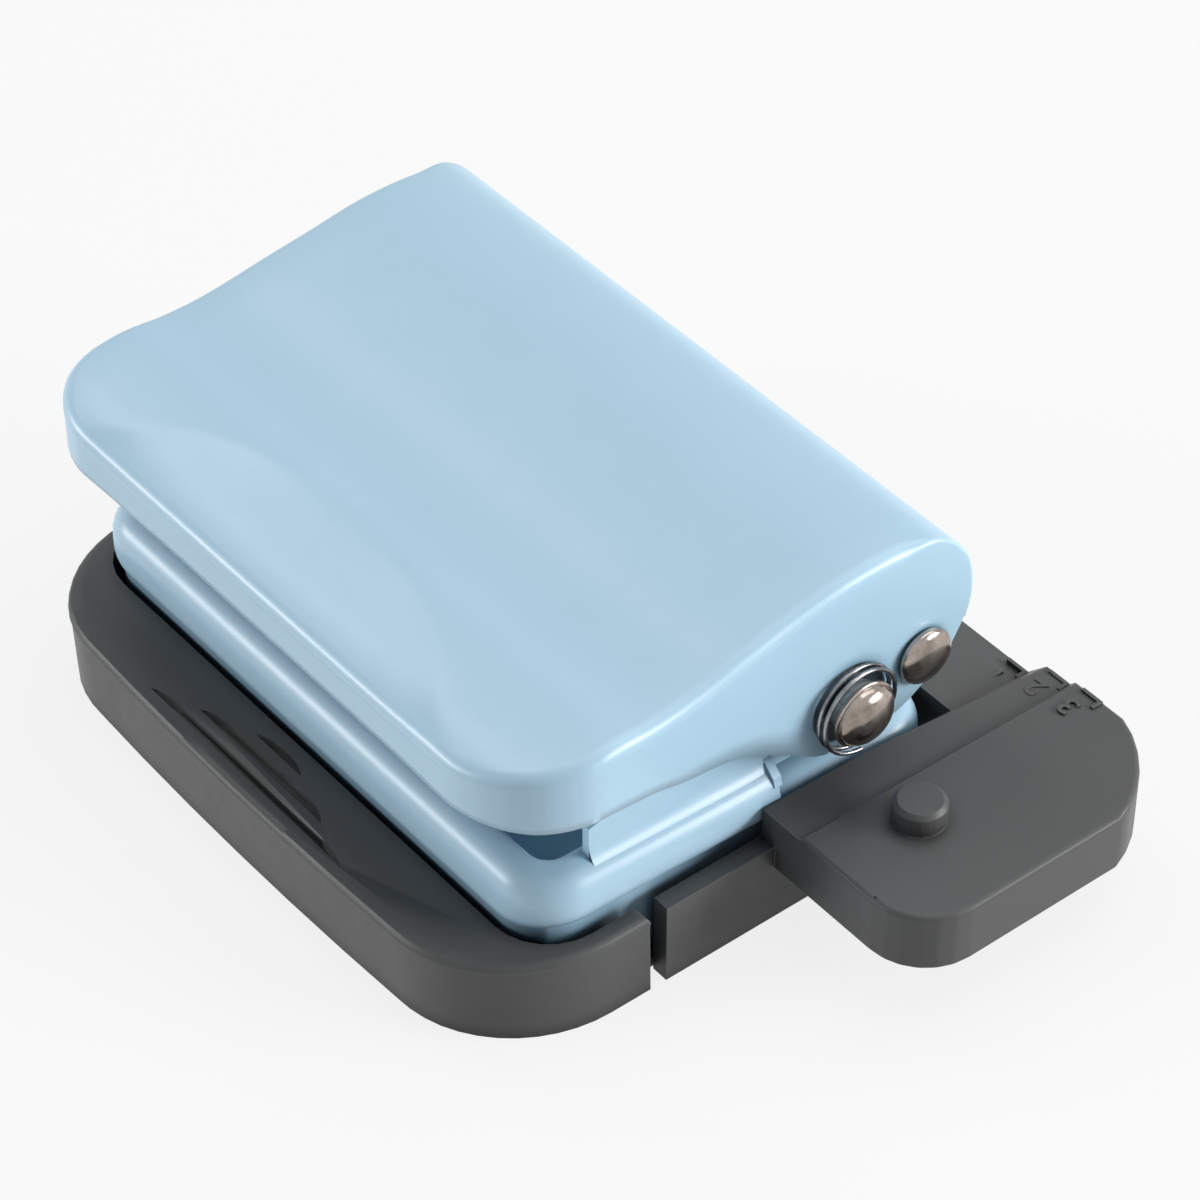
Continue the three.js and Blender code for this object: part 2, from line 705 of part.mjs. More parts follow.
function punch(x) {
  const grooveRadius = punchRadius - clipGroove;
  const grooveFoot = clipFoot - gap;
  const grooveTop = clipFoot + clipThickness + gap;
  const body = turned([
    [0, punchFoot], [punchRadius, punchFoot], [punchRadius, grooveFoot], [grooveRadius, grooveFoot],
    [grooveRadius, grooveTop], [punchRadius, grooveTop], [punchRadius, punchTop], [0, punchTop],
  ], alongZ, x, 0, 0);
  const half = punchRadius + overrun;
  const slotHalf = rodForward + rodRadius + gap;
  const slotRise = rodRadius + gap;
  const notch = outlineOf([
    [-half, punchFoot - overrun], [half, punchFoot - overrun], [punchRadius, punchFoot],
    [0, punchFoot + tipNotch], [-punchRadius, punchFoot],
  ]);
  return cut(body, [
    box(x - half, x + half, -slotHalf, slotHalf, rodHeight - slotRise, rodHeight + slotRise),
    drawnAlongX(notch, x - half, x + half),
  ]);
}

function punchClip(x) {
  const inner = punchRadius - clipGroove + gap;
  const halfMouth = clipMouth / 2;
  const mouth = box(x - halfMouth, x + halfMouth, 0, clipRadius + overrun, clipFoot - overrun, clipFoot + overrun);
  return ring(inner, clipRadius, clipThickness, alongZ, x, 0, clipFoot).subtract(mouth);
}

const springPitch = (springLength - springWire) / springTurns;

punchPlaces.forEach((x, i) => {
  const number = i + 1;
  addPiece(`punch_${number}`, punch(x), steel);
  addPiece(`punch_clip_${number}`, punchClip(x), springSteel);
  const name = `punch_spring_${number}`;
  const spring = coil(name, springRadius, 0, springPitch, springTurns, springWire, 0);
  addMesh(name, spring.translate(x, 0, springFoot + springWire / 2), springSteel);
});

// Chip tray: a lip in front, low side walls, a floor under the frame, a bin for the chips, hinge lugs

function trayOutline(inset) {
  const half = outerHalf - inset;
  const front = -lipOuter + lipBow + inset;
  const radius = trayCorner - inset;
  const outline = new THREE.Shape();
  outline.moveTo(half, -traySideEnd - inset);
  outline.lineTo(-half, -traySideEnd - inset);
  outline.absarc(-half + radius, front + radius, radius, Math.PI, Math.PI * 1.5);
  outline.quadraticCurveTo(0, front - 2 * lipBow, half - radius, front);
  outline.absarc(half - radius, front + radius, radius, -Math.PI / 2, 0);
  return outline;
}

function frameOutline(outset) {
  const corner = frameCorner + outset;
  const half = frameHalfWidth + outset;
  return roundedOutline(-half, half, -frameFront - outset, frameRear, [corner, corner, 0, 0]);
}

function lipPockets() {
  const roof = trayTop - trayWall;
  const front = raised(trayOutline(trayWall), -overrun, roof);
  const behind = raised(frameOutline(gap + trayWall), -2 * overrun, roof + overrun);
  const cellWidth = 2 * outerHalf / lipCells;
  const ribs = Array.from({ length: lipCells - 1 }, (_, i) => {
    const x = (i + 1) * cellWidth - outerHalf;
    return box(x - trayRib / 2, x + trayRib / 2, -lipOuter - overrun, 0, -2 * overrun, roof + overrun);
  });
  return cut(front, [behind, ...ribs]);
}

function stripe(i) {
  const [long, short] = stripeHalfLengths[i];
  const [outer, inner] = stripeAcrossShares[i].map((share) => -lipInner - share * lipWidth);
  const outline = outlineOf([
    [-long - stripeShift, outer], [long - stripeShift, outer],
    [short - stripeShift, inner], [-short - stripeShift, inner],
  ]);
  return raised(outline, trayTop - stripeDepth, trayTop + overrun);
}

function chipBin() {
  const half = frameHalfWidth - sheet - binInset;
  const front = -frameFront + sheet + binInset;
  const rear = floorRear - gap;
  const corner = frameCorner - sheet - binInset;
  const filled = (inset, z0, z1) => raised(
    roundedOutline(-half + inset, half - inset, front + inset, rear - inset, Array(4).fill(corner - inset)), z0, z1,
  );
  return filled(0, trayFloor / 2, trayFloor + binHeight).subtract(filled(binWall, 0, trayFloor + binHeight + overrun));
}

function trayLug(side) {
  const x0 = side * lugPlace - lugWidth / 2;
  const arm = box(x0, x0 + lugWidth, hingeBack - 2 * lugRadius, hingeBack, 0, hingeHeight);
  return arm.add(rod(lugRadius, lugWidth, alongX, x0, hingeBack, hingeHeight));
}

function chipTray() {
  const shell = raisedRound(trayOutline, trayEdge, 0, trayTop - trayEdge);
  const hollow = raised(frameOutline(gap), trayFloor, trayTop + overrun);
  const floor = box(-frameHalfWidth, frameHalfWidth, -traySideEnd - overrun, floorRear, 0, trayFloor);
  const lugs = bothSides.map((side) => trayLug(side));
  const body = joined([cut(shell, [hollow, lipPockets()]), floor, chipBin(), ...lugs]);
  return cut(body, [
    ...stripeHalfLengths.map((_, i) => stripe(i)),
    boreAcross(hingeRadius + gap, hingeBack, hingeHeight, smallSegments),
  ]);
}

const hingeRod = rod(hingeRadius, 2 * frameHalfWidth, alongX, -frameHalfWidth, hingeBack, hingeHeight, smallSegments);
addPiece('chip_tray', chipTray(), plastic);
addPiece('tray_hinge_rod', hingeRod, steel);

// Paper gauge: three levels parted by two slanting stops, cut to the plan of the shelf and the wing

function levelBelow(top, slope) {
  const outline = outlineOf([
    [-outerHalf - overrun, -wingTop], [wingRight + overrun, -wingTop],
    [wingRight + overrun, top], [-outerHalf - overrun, top],
  ]);
  return drawnSloping(outline, slope);
}

function stopBelow(x, middle, slope) {
  const reach = wingTop - shelfHeight;
  const outline = outlineOf([
    [x - reach, -wingTop], [wingRight + overrun, -wingTop],
    [wingRight + overrun, middle + reach], [x + reach, middle + reach], [x - reach, middle - reach],
  ]);
  return drawnSloping(outline, slope);
}

function gaugeLevels() {
  const shelfSlope = shelfRise / shelfDepth;
  const ledgeSlope = ledgeRise / wingLength;
  const shelf = levelBelow(shelfHeight, shelfSlope).intersect(
    box(-outerHalf - overrun, wingRight, shelfFront, gaugeRear + overrun, -overrun, wingTop),
  );
  const ledge = levelBelow(ledgeTop, ledgeSlope).intersect(
    stopBelow(firstStop, (shelfHeight + ledgeTop) / 2, (shelfSlope + ledgeSlope) / 2),
  );
  const top = levelBelow(wingTop, 0).intersect(
    stopBelow(secondStop, (ledgeTop + wingTop) / 2, ledgeSlope / 2),
  );
  return joined([shelf, ledge, top]);
}

const wingPlan = (inset) => roundedOutline(
  innerHalf + inset, wingRight - inset, -wingFront + inset, gaugeRear - inset,
  [0, wingFrontCorner - inset, wingRearCorner - inset, 0],
);

const shelfPlan = (inset) => roundedOutline(
  -outerHalf + inset, outerHalf - inset, shelfFront + inset, gaugeRear - inset, [0, 0, 0, shelfCorner - inset],
);

function gaugePockets() {
  const shelfRoof = shelfHeight - gaugeWall;
  const wingRoof = ledgeTop - gaugeWall;
  const shelfStart = gaugeWall - outerHalf;
  const cell = (2 * (outerHalf - gaugeWall) + gaugeRib) / shelfCells;
  const underShelf = Array.from({ length: shelfCells }, (_, i) => {
    const x0 = shelfStart + i * cell;
    return box(x0, x0 + cell - gaugeRib, shelfFront + bossWall, gaugeRear, -overrun, shelfRoof);
  });
  const wingStart = outerHalf + gaugeRib;
  const wingMiddle = (wingStart + wingRight) / 2;
  const step = (wingLength - 2 * gaugeWall + gaugeRib) / wingCellsAlong;
  const underWing = Array.from({ length: wingCellsAlong }, (_, i) => {
    const y0 = gaugeWall - wingFront + i * step;
    const row = box(wingStart, wingRight, y0, y0 + step - gaugeRib, -overrun, wingRoof);
    return row.subtract(box(wingMiddle - gaugeRib / 2, wingMiddle + gaugeRib / 2, y0, y0 + step, -overrun, wingTop));
  });
  return [
    joined(underShelf).intersect(raised(shelfPlan(gaugeWall), -overrun, wingTop)),
    joined(underWing).intersect(raised(wingPlan(gaugeWall), -overrun, wingTop)),
  ];
}

function paperGauge() {
  const plan = raised(shelfPlan(0), 0, wingTop).add(raised(wingPlan(0), wingUnder, wingTop));
  const sideWalls = bothSides.map((side) => {
    const x0 = side < 0 ? -outerHalf : innerHalf;
    return box(x0, x0 + sideWall, -gaugeStart, shelfFront + overrun, 0, trayTop);
  });
  const peg = turned([
    [0, wingTop - overrun], [pegRadius, wingTop - overrun], [pegRadius, wingTop + pegHeight - pegChamfer],
    [pegRadius - pegChamfer, wingTop + pegHeight], [0, wingTop + pegHeight],
  ], alongZ, pegPlace, pegBack, 0);
  const body = joined([plan.intersect(gaugeLevels()), ...sideWalls, peg]);
  return cut(body, [
    ...gaugePockets(),
    ...bothSides.map((side) => screwHole(side, shelfFront - overrun, overrun + screwBite + gap)),
  ]);
}

function gaugeScrew(side) {
  const start = frameRear - sheet - gap - screwHead;
  const end = shelfFront + screwBite - start;
  const profile = [
    [0, 0], [screwHeadRadius, 0], [screwHeadRadius, screwHead], [screwRadius, screwHead],
    [screwRadius, end], [0, end],
  ];
  return turned(profile, alongY, side * screwPlace, start, screwHeight, smallSegments);
}

addPiece('paper_gauge', paperGauge(), plastic);
for (const side of bothSides) addPiece(`gauge_screw_${handOf(side)}`, gaugeScrew(side), steel);

// The origin lies on the table, under the middle of the whole part
part.position.set((capTip - wingRight) / 2, (lipOuter - gaugeRear) / 2, 0);

export default part;
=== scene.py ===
# %% [markdown]
# # A six hole punch, dressed over its frame
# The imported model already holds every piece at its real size. This lesson gives it its looks: pressed blue
# sheet with soft edges, moulded grey plastic, nickel heads and wound wire. It starts by loading the model.

# %% Load the frame
import json
import math
import bmesh
import bpy
from mathutils import Matrix, Vector


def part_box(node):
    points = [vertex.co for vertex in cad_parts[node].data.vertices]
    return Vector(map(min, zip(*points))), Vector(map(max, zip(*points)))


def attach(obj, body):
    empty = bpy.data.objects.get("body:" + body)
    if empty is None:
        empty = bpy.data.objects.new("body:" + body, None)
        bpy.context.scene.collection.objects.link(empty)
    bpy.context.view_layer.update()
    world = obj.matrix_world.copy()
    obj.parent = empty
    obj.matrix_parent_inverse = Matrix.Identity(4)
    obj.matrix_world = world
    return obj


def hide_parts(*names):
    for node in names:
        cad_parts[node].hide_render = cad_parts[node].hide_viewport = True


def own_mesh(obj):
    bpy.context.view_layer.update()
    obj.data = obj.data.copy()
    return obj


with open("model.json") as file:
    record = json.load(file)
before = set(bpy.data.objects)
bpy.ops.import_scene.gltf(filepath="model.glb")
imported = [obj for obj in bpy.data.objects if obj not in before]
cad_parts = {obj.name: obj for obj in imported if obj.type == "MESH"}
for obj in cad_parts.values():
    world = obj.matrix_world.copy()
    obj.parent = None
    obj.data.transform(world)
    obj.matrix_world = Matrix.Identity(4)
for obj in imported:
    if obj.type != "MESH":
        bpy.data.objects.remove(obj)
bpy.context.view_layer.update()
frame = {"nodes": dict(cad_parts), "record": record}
nodes = frame["nodes"]
bodies = frame["record"]["behaviour"]["bodies"]
body_of_node = {node: body for body, members in bodies.items() for node in members}

# %% [markdown]
# The punch is easiest to describe from the middle of its punch row, in millimetres, with the table at height
# zero. Blender works in metres from the middle of the whole object, so one matrix takes each finished piece
# from the first way of counting to the second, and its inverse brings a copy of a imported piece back.

# %% Millimetres from the punch row
MM = 0.001
PUNCHES = 6
first_punch, last_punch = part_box("punch_1"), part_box(f"punch_{PUNCHES}")
row_x = (first_punch[0].x + last_punch[1].x) / 2
row_y = (first_punch[0].y + first_punch[1].y) / 2
TO_FRAME = Matrix.Translation((row_x, row_y, 0)) @ Matrix.Scale(MM, 4)
FROM_FRAME = TO_FRAME.inverted()


def real_box(node):
    low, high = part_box(node)
    return FROM_FRAME @ low, FROM_FRAME @ high


def at(x, y, z):
    return TO_FRAME @ Vector((x, y, z))


print("punch row at", round(row_x / MM, 2), round(row_y / MM, 2), "mm")

# %% [markdown]
# Three small steps come back in almost every cell: a new object is linked to the scene, a finished bmesh
# becomes a mesh, and an object whose modifiers or curve have done their work becomes a plain mesh again.

# %% Helpers for objects


def new_object(name, data):
    made = bpy.data.objects.new(name, data)
    bpy.context.collection.objects.link(made)
    return made


def mesh_of(name, shape):
    mesh = bpy.data.meshes.new(name)
    shape.to_mesh(mesh)
    shape.free()
    return mesh


def plain_mesh(holder):
    """The mesh that an object shows. The object itself goes."""
    bpy.context.view_layer.update()
    evaluated = holder.evaluated_get(bpy.context.evaluated_depsgraph_get())
    mesh = bpy.data.meshes.new_from_object(evaluated)
    bpy.data.objects.remove(holder)
    return mesh


# %% [markdown]
# The photograph looks down at the front right corner through a long lens, so parallel edges stay nearly
# parallel. The camera is placed by its direction, its distance and its lens, and aimed at one point of the
# table under the handle.

# %% Camera
AZIMUTH, ELEVATION = math.radians(51.31), math.radians(41.79)
CAMERA_PLACE = at(271.05, -216.84, 318.96)
LENS, SENSOR, FARTHEST = 129.3, 36.0, 10

camera_data = bpy.data.cameras.new("camera")
camera_data.lens = LENS
camera_data.sensor_width = SENSOR
camera_data.clip_end = FARTHEST
camera = new_object("camera", camera_data)
camera.location = CAMERA_PLACE
camera.rotation_euler = (math.pi / 2 - ELEVATION, 0, AZIMUTH)
bpy.context.scene.camera = camera
print("camera", [round(c, 3) for c in CAMERA_PLACE])

# %% [markdown]
# The studio is white all round. A pale floor catches a faint shadow. The camera, gloss and glass see the
# floor and the world as white, while the light that they give to the object stays at a plain level. Two low
# soft lamps face each other across the object, one at the front left and one at the rear right. They light
# both visible sides, and their mirror images draw the bright lines along the rounded edges of the sheet. A
# broad lamp above the rear lights the top and its roll, and a small one shows in the thumb scoop alone,
# which makes its crease plain.

# %% World and floor
FLOOR_HALF = 2.0
ROOM_TINT, ROOM_LEVEL, WHITE_LEVEL = (0.97, 0.99, 1.0), 0.2, 1.0
FLOOR_GREY, FLOOR_GLOW = (0.76, 0.76, 0.76), 0.82


def new_material(name):
    material = bpy.data.materials.new(name)
    material.use_nodes = True
    material.node_tree.nodes.clear()
    return material, material.node_tree.nodes, material.node_tree.links


def seen_directly(tree_nodes, links):
    paths = tree_nodes.new("ShaderNodeLightPath")
    seen = paths.outputs["Is Camera Ray"]
    for ray in ("Is Glossy Ray", "Is Transmission Ray"):
        either = tree_nodes.new("ShaderNodeMath")
        either.operation = "MAXIMUM"
        links.new(seen, either.inputs[0])
        links.new(paths.outputs[ray], either.inputs[1])
        seen = either.outputs[0]
    return seen


world = bpy.data.worlds.new("studio")
bpy.context.scene.world = world
world.use_nodes = True
world_nodes, world_links = world.node_tree.nodes, world.node_tree.links
world_nodes.clear()
room = world_nodes.new("ShaderNodeBackground")
room.inputs["Color"].default_value = (*ROOM_TINT, 1)
room.inputs["Strength"].default_value = ROOM_LEVEL
white = world_nodes.new("ShaderNodeBackground")
white.inputs["Strength"].default_value = WHITE_LEVEL
pick = world_nodes.new("ShaderNodeMixShader")
world_links.new(seen_directly(world_nodes, world_links), pick.inputs[0])
world_links.new(room.outputs[0], pick.inputs[1])
world_links.new(white.outputs[0], pick.inputs[2])
world_links.new(pick.outputs[0], world_nodes.new("ShaderNodeOutputWorld").inputs["Surface"])

floor_material, floor_nodes, floor_links = new_material("floor")
matt = floor_nodes.new("ShaderNodeBsdfDiffuse")
matt.inputs["Color"].default_value = (*FLOOR_GREY, 1)
glow = floor_nodes.new("ShaderNodeEmission")
glow.inputs["Strength"].default_value = WHITE_LEVEL
floor_pick = floor_nodes.new("ShaderNodeMixShader")
lit_share = floor_nodes.new("ShaderNodeMath")
lit_share.operation = "MULTIPLY"
lit_share.inputs[1].default_value = FLOOR_GLOW
floor_links.new(seen_directly(floor_nodes, floor_links), lit_share.inputs[0])
floor_links.new(lit_share.outputs[0], floor_pick.inputs[0])
floor_links.new(matt.outputs[0], floor_pick.inputs[1])
floor_links.new(glow.outputs[0], floor_pick.inputs[2])
floor_links.new(floor_pick.outputs[0], floor_nodes.new("ShaderNodeOutputMaterial").inputs["Surface"])

floor_shape = bmesh.new()
bmesh.ops.create_grid(floor_shape, x_segments=1, y_segments=1, size=FLOOR_HALF)
floor_mesh = mesh_of("floor", floor_shape)
floor_mesh.materials.append(floor_material)
new_object("floor", floor_mesh)

# %% Lamps


def soft_lamp(name, place, aim_height, size, power):
    """A rectangular lamp, aimed at a height over the middle of the object."""
    data = bpy.data.lights.new(name, "AREA")
    data.shape = "RECTANGLE"
    data.size, data.size_y = size
    data.energy = power
    lamp = new_object(name, data)
    lamp.location = place
    aim = Vector((0, 0, aim_height)) - Vector(place)
    lamp.rotation_euler = aim.to_track_quat("-Z", "Y").to_euler()


soft_lamp("front_left", place=(-0.67, -0.85, 0.24), aim_height=0.02, size=(0.7, 0.26), power=6.9)
soft_lamp("rear_right", place=(0.75, 0.69, 0.33), aim_height=0.02, size=(0.6, 0.35), power=11.0)
soft_lamp("above_rear", place=(0, 0.42, 0.95), aim_height=0.02, size=(0.9, 0.9), power=4.2)
soft_lamp("scoop", place=(-0.64, -0.02, 0.90), aim_height=0.03, size=(0.35, 0.35), power=1.6)

# %% [markdown]
# ## Finishes
# Each finish is one small node graph. All of them start from Object coordinates, which stay with the piece,
# so a pattern keeps its real size in every view. A fine noise bends the normal a little, a wider one varies
# the roughness, and a bevel comparison finds the edges, where handling wears the finish and where the grey
# plastic gets a painted highlight. An occlusion test finds the narrow places, which get painted shade.
# Lengths in a graph are in metres, and a noise's scale is the number of its waves in a metre.

# %% Helpers for finishes
LEAST_TURN, FULL_TURN = 0.03, 0.25
# A Mix node has sockets for every kind of value, and these are the ones for colours.
FIRST_COLOUR, SECOND_COLOUR, MIXED_COLOUR = 6, 7, 2


def noise(graph, links, coordinates, scale, detail=3.0, stretch=None):
    source = coordinates.outputs["Object"]
    if stretch:
        mapping = graph.new("ShaderNodeMapping")
        mapping.inputs["Scale"].default_value = stretch
        links.new(source, mapping.inputs["Vector"])
        source = mapping.outputs["Vector"]
    texture = graph.new("ShaderNodeTexNoise")
    texture.inputs["Scale"].default_value = scale
    texture.inputs["Detail"].default_value = detail
    links.new(source, texture.inputs["Vector"])
    return texture.outputs["Fac"]


def ramp(graph, links, value, low, high, from_low=0.35, from_high=0.65):
    """Takes a value from one range to another. The default range gives a noise its full contrast."""
    node = graph.new("ShaderNodeMapRange")
    node.inputs["From Min"].default_value = from_low
    node.inputs["From Max"].default_value = from_high
    node.inputs["To Min"].default_value = low
    node.inputs["To Max"].default_value = high
    links.new(value, node.inputs["Value"])
    return node.outputs["Result"]


def edge_mask(graph, links, radius):
    """0 on flat stretches and 1 on an edge, from how far a rounded normal turns from the true one."""
    rounded = graph.new("ShaderNodeBevel")
    rounded.samples = 4
    rounded.inputs["Radius"].default_value = radius
    geometry = graph.new("ShaderNodeNewGeometry")
    product = graph.new("ShaderNodeVectorMath")
    product.operation = "DOT_PRODUCT"
    links.new(rounded.outputs["Normal"], product.inputs[0])
    links.new(geometry.outputs["Normal"], product.inputs[1])
    return ramp(graph, links, product.outputs["Value"], 1.0, 0.0, 1 - FULL_TURN, 1 - LEAST_TURN)


def mixed(graph, links, factor, first, second):
    mix = graph.new("ShaderNodeMix")
    mix.data_type = "RGBA"
    for socket, colour in ((FIRST_COLOUR, first), (SECOND_COLOUR, second)):
        if isinstance(colour, tuple):
            mix.inputs[socket].default_value = (*colour, 1)
        else:
            links.new(colour, mix.inputs[socket])
    links.new(factor, mix.inputs["Factor"])
    return mix.outputs[MIXED_COLOUR]


def painted_shade_mask(graph, links, distance, most, darkest, cleanest):
    """How much painted shade a narrow place gets, from how little of its surroundings is open."""
    pits = graph.new("ShaderNodeAmbientOcclusion")
    pits.samples = 8
    pits.inputs["Distance"].default_value = distance
    return ramp(graph, links, pits.outputs["AO"], most, 0.0, darkest, cleanest)


def linear(*shown):
    """A colour as it is seen, 0 to 255 a channel, turned into the linear values that a shader takes."""
    shares = [channel / 255 for channel in shown]
    return tuple(c / 12.92 if c <= 0.04045 else ((c + 0.055) / 1.055) ** 2.4 for c in shares)


def bumped(graph, links, height, distance):
    bump = graph.new("ShaderNodeBump")
    bump.inputs["Distance"].default_value = distance
    bump.inputs["Strength"].default_value = 1.0
    links.new(height, bump.inputs["Height"])
    return bump.outputs["Normal"]


# %% [markdown]
# ## Blue paint
# The sheet is sprayed with satin paint. Such a coat has a faint orange skin about a millimetre across, a few
# specks of dust under it, and a slightly paler line where it is drawn thin over an edge. Where two pieces
# nearly touch, it gets a deep blue painted shade, and under the wire coils at the ends of the press rod a
# near-black painted shade for the dark gap between coil and cap. That mark is round the rod's axis, so it is a
# distance across it.

# %% Blue paint
rod_low, rod_high = real_box("press_cap_right")
ROD_CENTRE = at(0, (rod_low.y + rod_high.y) / 2, (rod_low.z + rod_high.z) / 2)
COIL_SHADE_RADIUS, COIL_SHADE_BLUR = 0.0049, 0.0003


def coil_shade_mask(graph, links, coordinates, radius, blur):
    """Where the painted shade under the coils lies: 1 close to the press rod's axis, and 0 beyond the radius.
    """
    offset = graph.new("ShaderNodeVectorMath")
    offset.operation = "SUBTRACT"
    offset.inputs[1].default_value = ROD_CENTRE
    links.new(coordinates.outputs["Object"], offset.inputs[0])
    across = graph.new("ShaderNodeVectorMath")
    across.operation = "MULTIPLY"
    across.inputs[1].default_value = (0, 1, 1)
    links.new(offset.outputs[0], across.inputs[0])
    distance = graph.new("ShaderNodeVectorMath")
    distance.operation = "LENGTH"
    links.new(across.outputs[0], distance.inputs[0])
    return ramp(graph, links, distance.outputs["Value"], 0.9, 0.0, radius - blur, radius)


def blue_paint():
    material, graph, links = new_material("satin_blue_paint")
    coordinates = graph.new("ShaderNodeTexCoord")
    shader = graph.new("ShaderNodeBsdfPrincipled")
    cloud = noise(graph, links, coordinates, 160)
    drift = ramp(graph, links, cloud, 0, 1, 0.2, 0.8)
    base = mixed(graph, links, drift, linear(169, 203, 223), linear(172, 205, 225))
    specks = noise(graph, links, coordinates, 4200, 1)
    dust = ramp(graph, links, specks, 0, 0.3, 0.76, 0.80)
    dusty = mixed(graph, links, dust, base, linear(120, 150, 170))
    edge_share = edge_mask(graph, links, 0.0004)
    wear = graph.new("ShaderNodeMath")
    wear.operation = "MULTIPLY"
    links.new(edge_share, wear.inputs[0])
    rubbed = noise(graph, links, coordinates, 700)
    links.new(ramp(graph, links, rubbed, 0.1, 0.35, 0.2, 0.8), wear.inputs[1])
    used = mixed(graph, links, wear.outputs[0], dusty, linear(196, 222, 238))
    # Painted shade: the occlusion test darkens the paint to deep blue where pieces nearly touch.
    painted_shade = painted_shade_mask(graph, links, 0.0035, 0.6, 0.25, 0.85)
    with_painted_shade = mixed(graph, links, painted_shade, used, linear(40, 92, 124))
    # Painted shade: a near-black disc under each coil stands for the dark gap between coil and cap.
    coil_shade = coil_shade_mask(graph, links, coordinates, COIL_SHADE_RADIUS, COIL_SHADE_BLUR)
    links.new(mixed(graph, links, coil_shade, with_painted_shade, linear(16, 28, 38)), shader.inputs["Base Color"])
    satin = ramp(graph, links, noise(graph, links, coordinates, 260), 0.34, 0.38, 0.2, 0.8)
    links.new(satin, shader.inputs["Roughness"])
    skin = noise(graph, links, coordinates, 1100, 2)
    links.new(bumped(graph, links, skin, 0.000006), shader.inputs["Normal"])
    shader.inputs["Specular IOR Level"].default_value = 0.55
    shader.inputs["Coat Weight"].default_value = 0.15
    shader.inputs["Coat Roughness"].default_value = 0.2
    links.new(shader.outputs[0], graph.new("ShaderNodeOutputMaterial").inputs["Surface"])
    return material


paint = blue_paint()
print("made", paint.name)

# %% [markdown]
# ## Grey plastic
# The tray and the gauge are moulded in one dark grey. The mould was lightly sparked, which leaves a grain of
# about a tenth of a millimetre. Their edges are smoothed by hands and paper, and a painted highlight lays
# their fine line of light on them. Their narrow corners get painted shade, which an occlusion test over almost
# three millimetres finds.

# %% Grey plastic


def grey_plastic():
    material, graph, links = new_material("moulded_grey_plastic")
    coordinates = graph.new("ShaderNodeTexCoord")
    shader = graph.new("ShaderNodeBsdfPrincipled")
    cloud = ramp(graph, links, noise(graph, links, coordinates, 70), 0, 1, 0.2, 0.8)
    base = mixed(graph, links, cloud, linear(80, 81, 82), linear(83, 83, 83))
    # Painted highlight: the edges are painted lighter for the fine line of light along them, over some
    # smoothing by hands.
    edge_share = edge_mask(graph, links, 0.0003)
    edge_highlight_and_wear = graph.new("ShaderNodeMath")
    edge_highlight_and_wear.operation = "MULTIPLY"
    edge_highlight_and_wear.inputs[1].default_value = 0.5
    links.new(edge_share, edge_highlight_and_wear.inputs[0])
    with_edge_highlight = mixed(graph, links, edge_highlight_and_wear.outputs[0], base, linear(132, 130, 126))
    # Painted shade: the occlusion test darkens narrow corners and the insides of the stripes.
    painted_shade = painted_shade_mask(graph, links, 0.0028, 0.92, 0.3, 0.9)
    links.new(mixed(graph, links, painted_shade, with_edge_highlight, linear(26, 28, 30)), shader.inputs["Base Color"])
    sparked = ramp(graph, links, noise(graph, links, coordinates, 420), 0.40, 0.47, 0.2, 0.8)
    links.new(sparked, shader.inputs["Roughness"])
    grain = noise(graph, links, coordinates, 6500, 2)
    links.new(bumped(graph, links, grain, 0.000014), shader.inputs["Normal"])
    shader.inputs["Specular IOR Level"].default_value = 0.3
    links.new(shader.outputs[0], graph.new("ShaderNodeOutputMaterial").inputs["Surface"])
    return material


plastic = grey_plastic()
print("made", plastic.name)

# %% [markdown]
# ## Metals
# The heads and caps are nickel over turned brass, warm and nearly mirror bright with fine rings left by the
# tool. The hidden steel is brushed along its length, and the spring wire is drawn and a little darker.

# %% Metals


def metal(name, dark, bright, roughness, lines, line_depth, stretch=None):
    material, graph, links = new_material(name)
    coordinates = graph.new("ShaderNodeTexCoord")
    shader = graph.new("ShaderNodeBsdfPrincipled")
    shader.inputs["Metallic"].default_value = 1.0
    tarnish = ramp(graph, links, noise(graph, links, coordinates, 450), 0, 1)
    edge_share = edge_mask(graph, links, 0.0002)
    base = mixed(graph, links, tarnish, dark, bright)
    links.new(mixed(graph, links, edge_share, base, bright), shader.inputs["Base Color"])
    brushed = noise(graph, links, coordinates, lines, 2, stretch)
    links.new(ramp(graph, links, brushed, roughness * 0.8, roughness * 1.3), shader.inputs["Roughness"])
    links.new(bumped(graph, links, brushed, line_depth), shader.inputs["Normal"])
    links.new(shader.outputs[0], graph.new("ShaderNodeOutputMaterial").inputs["Surface"])
    return material


nickel = metal("turned_nickel", dark=(0.27, 0.23, 0.20), bright=(0.44, 0.38, 0.34), roughness=0.17,
               lines=900, line_depth=0.000004)
steel = metal("brushed_steel", dark=(0.42, 0.42, 0.42), bright=(0.60, 0.60, 0.59), roughness=0.32,
              lines=1400, line_depth=0.000008, stretch=(0.08, 1, 1))
spring_steel = metal("drawn_spring_steel", dark=(0.16, 0.16, 0.17), bright=(0.40, 0.40, 0.41),
                     roughness=0.22, lines=1800, line_depth=0.000005)
print("made", nickel.name, steel.name, spring_steel.name)

# %% [markdown]
# ## Keeping a piece
# Every finished piece goes the same way: its mesh is taken from millimetres to the frame, it gets its finish,
# its faces are smoothed up to a chosen angle, and it is hung on the body that it rides on, while the imported
# piece that it stands for is hidden. Two modifiers may finish it: a bevel on its sharp edges, and normals that
# keep its flat faces flat.

# %% Keep a piece
SHARP_ANGLE = math.radians(40)


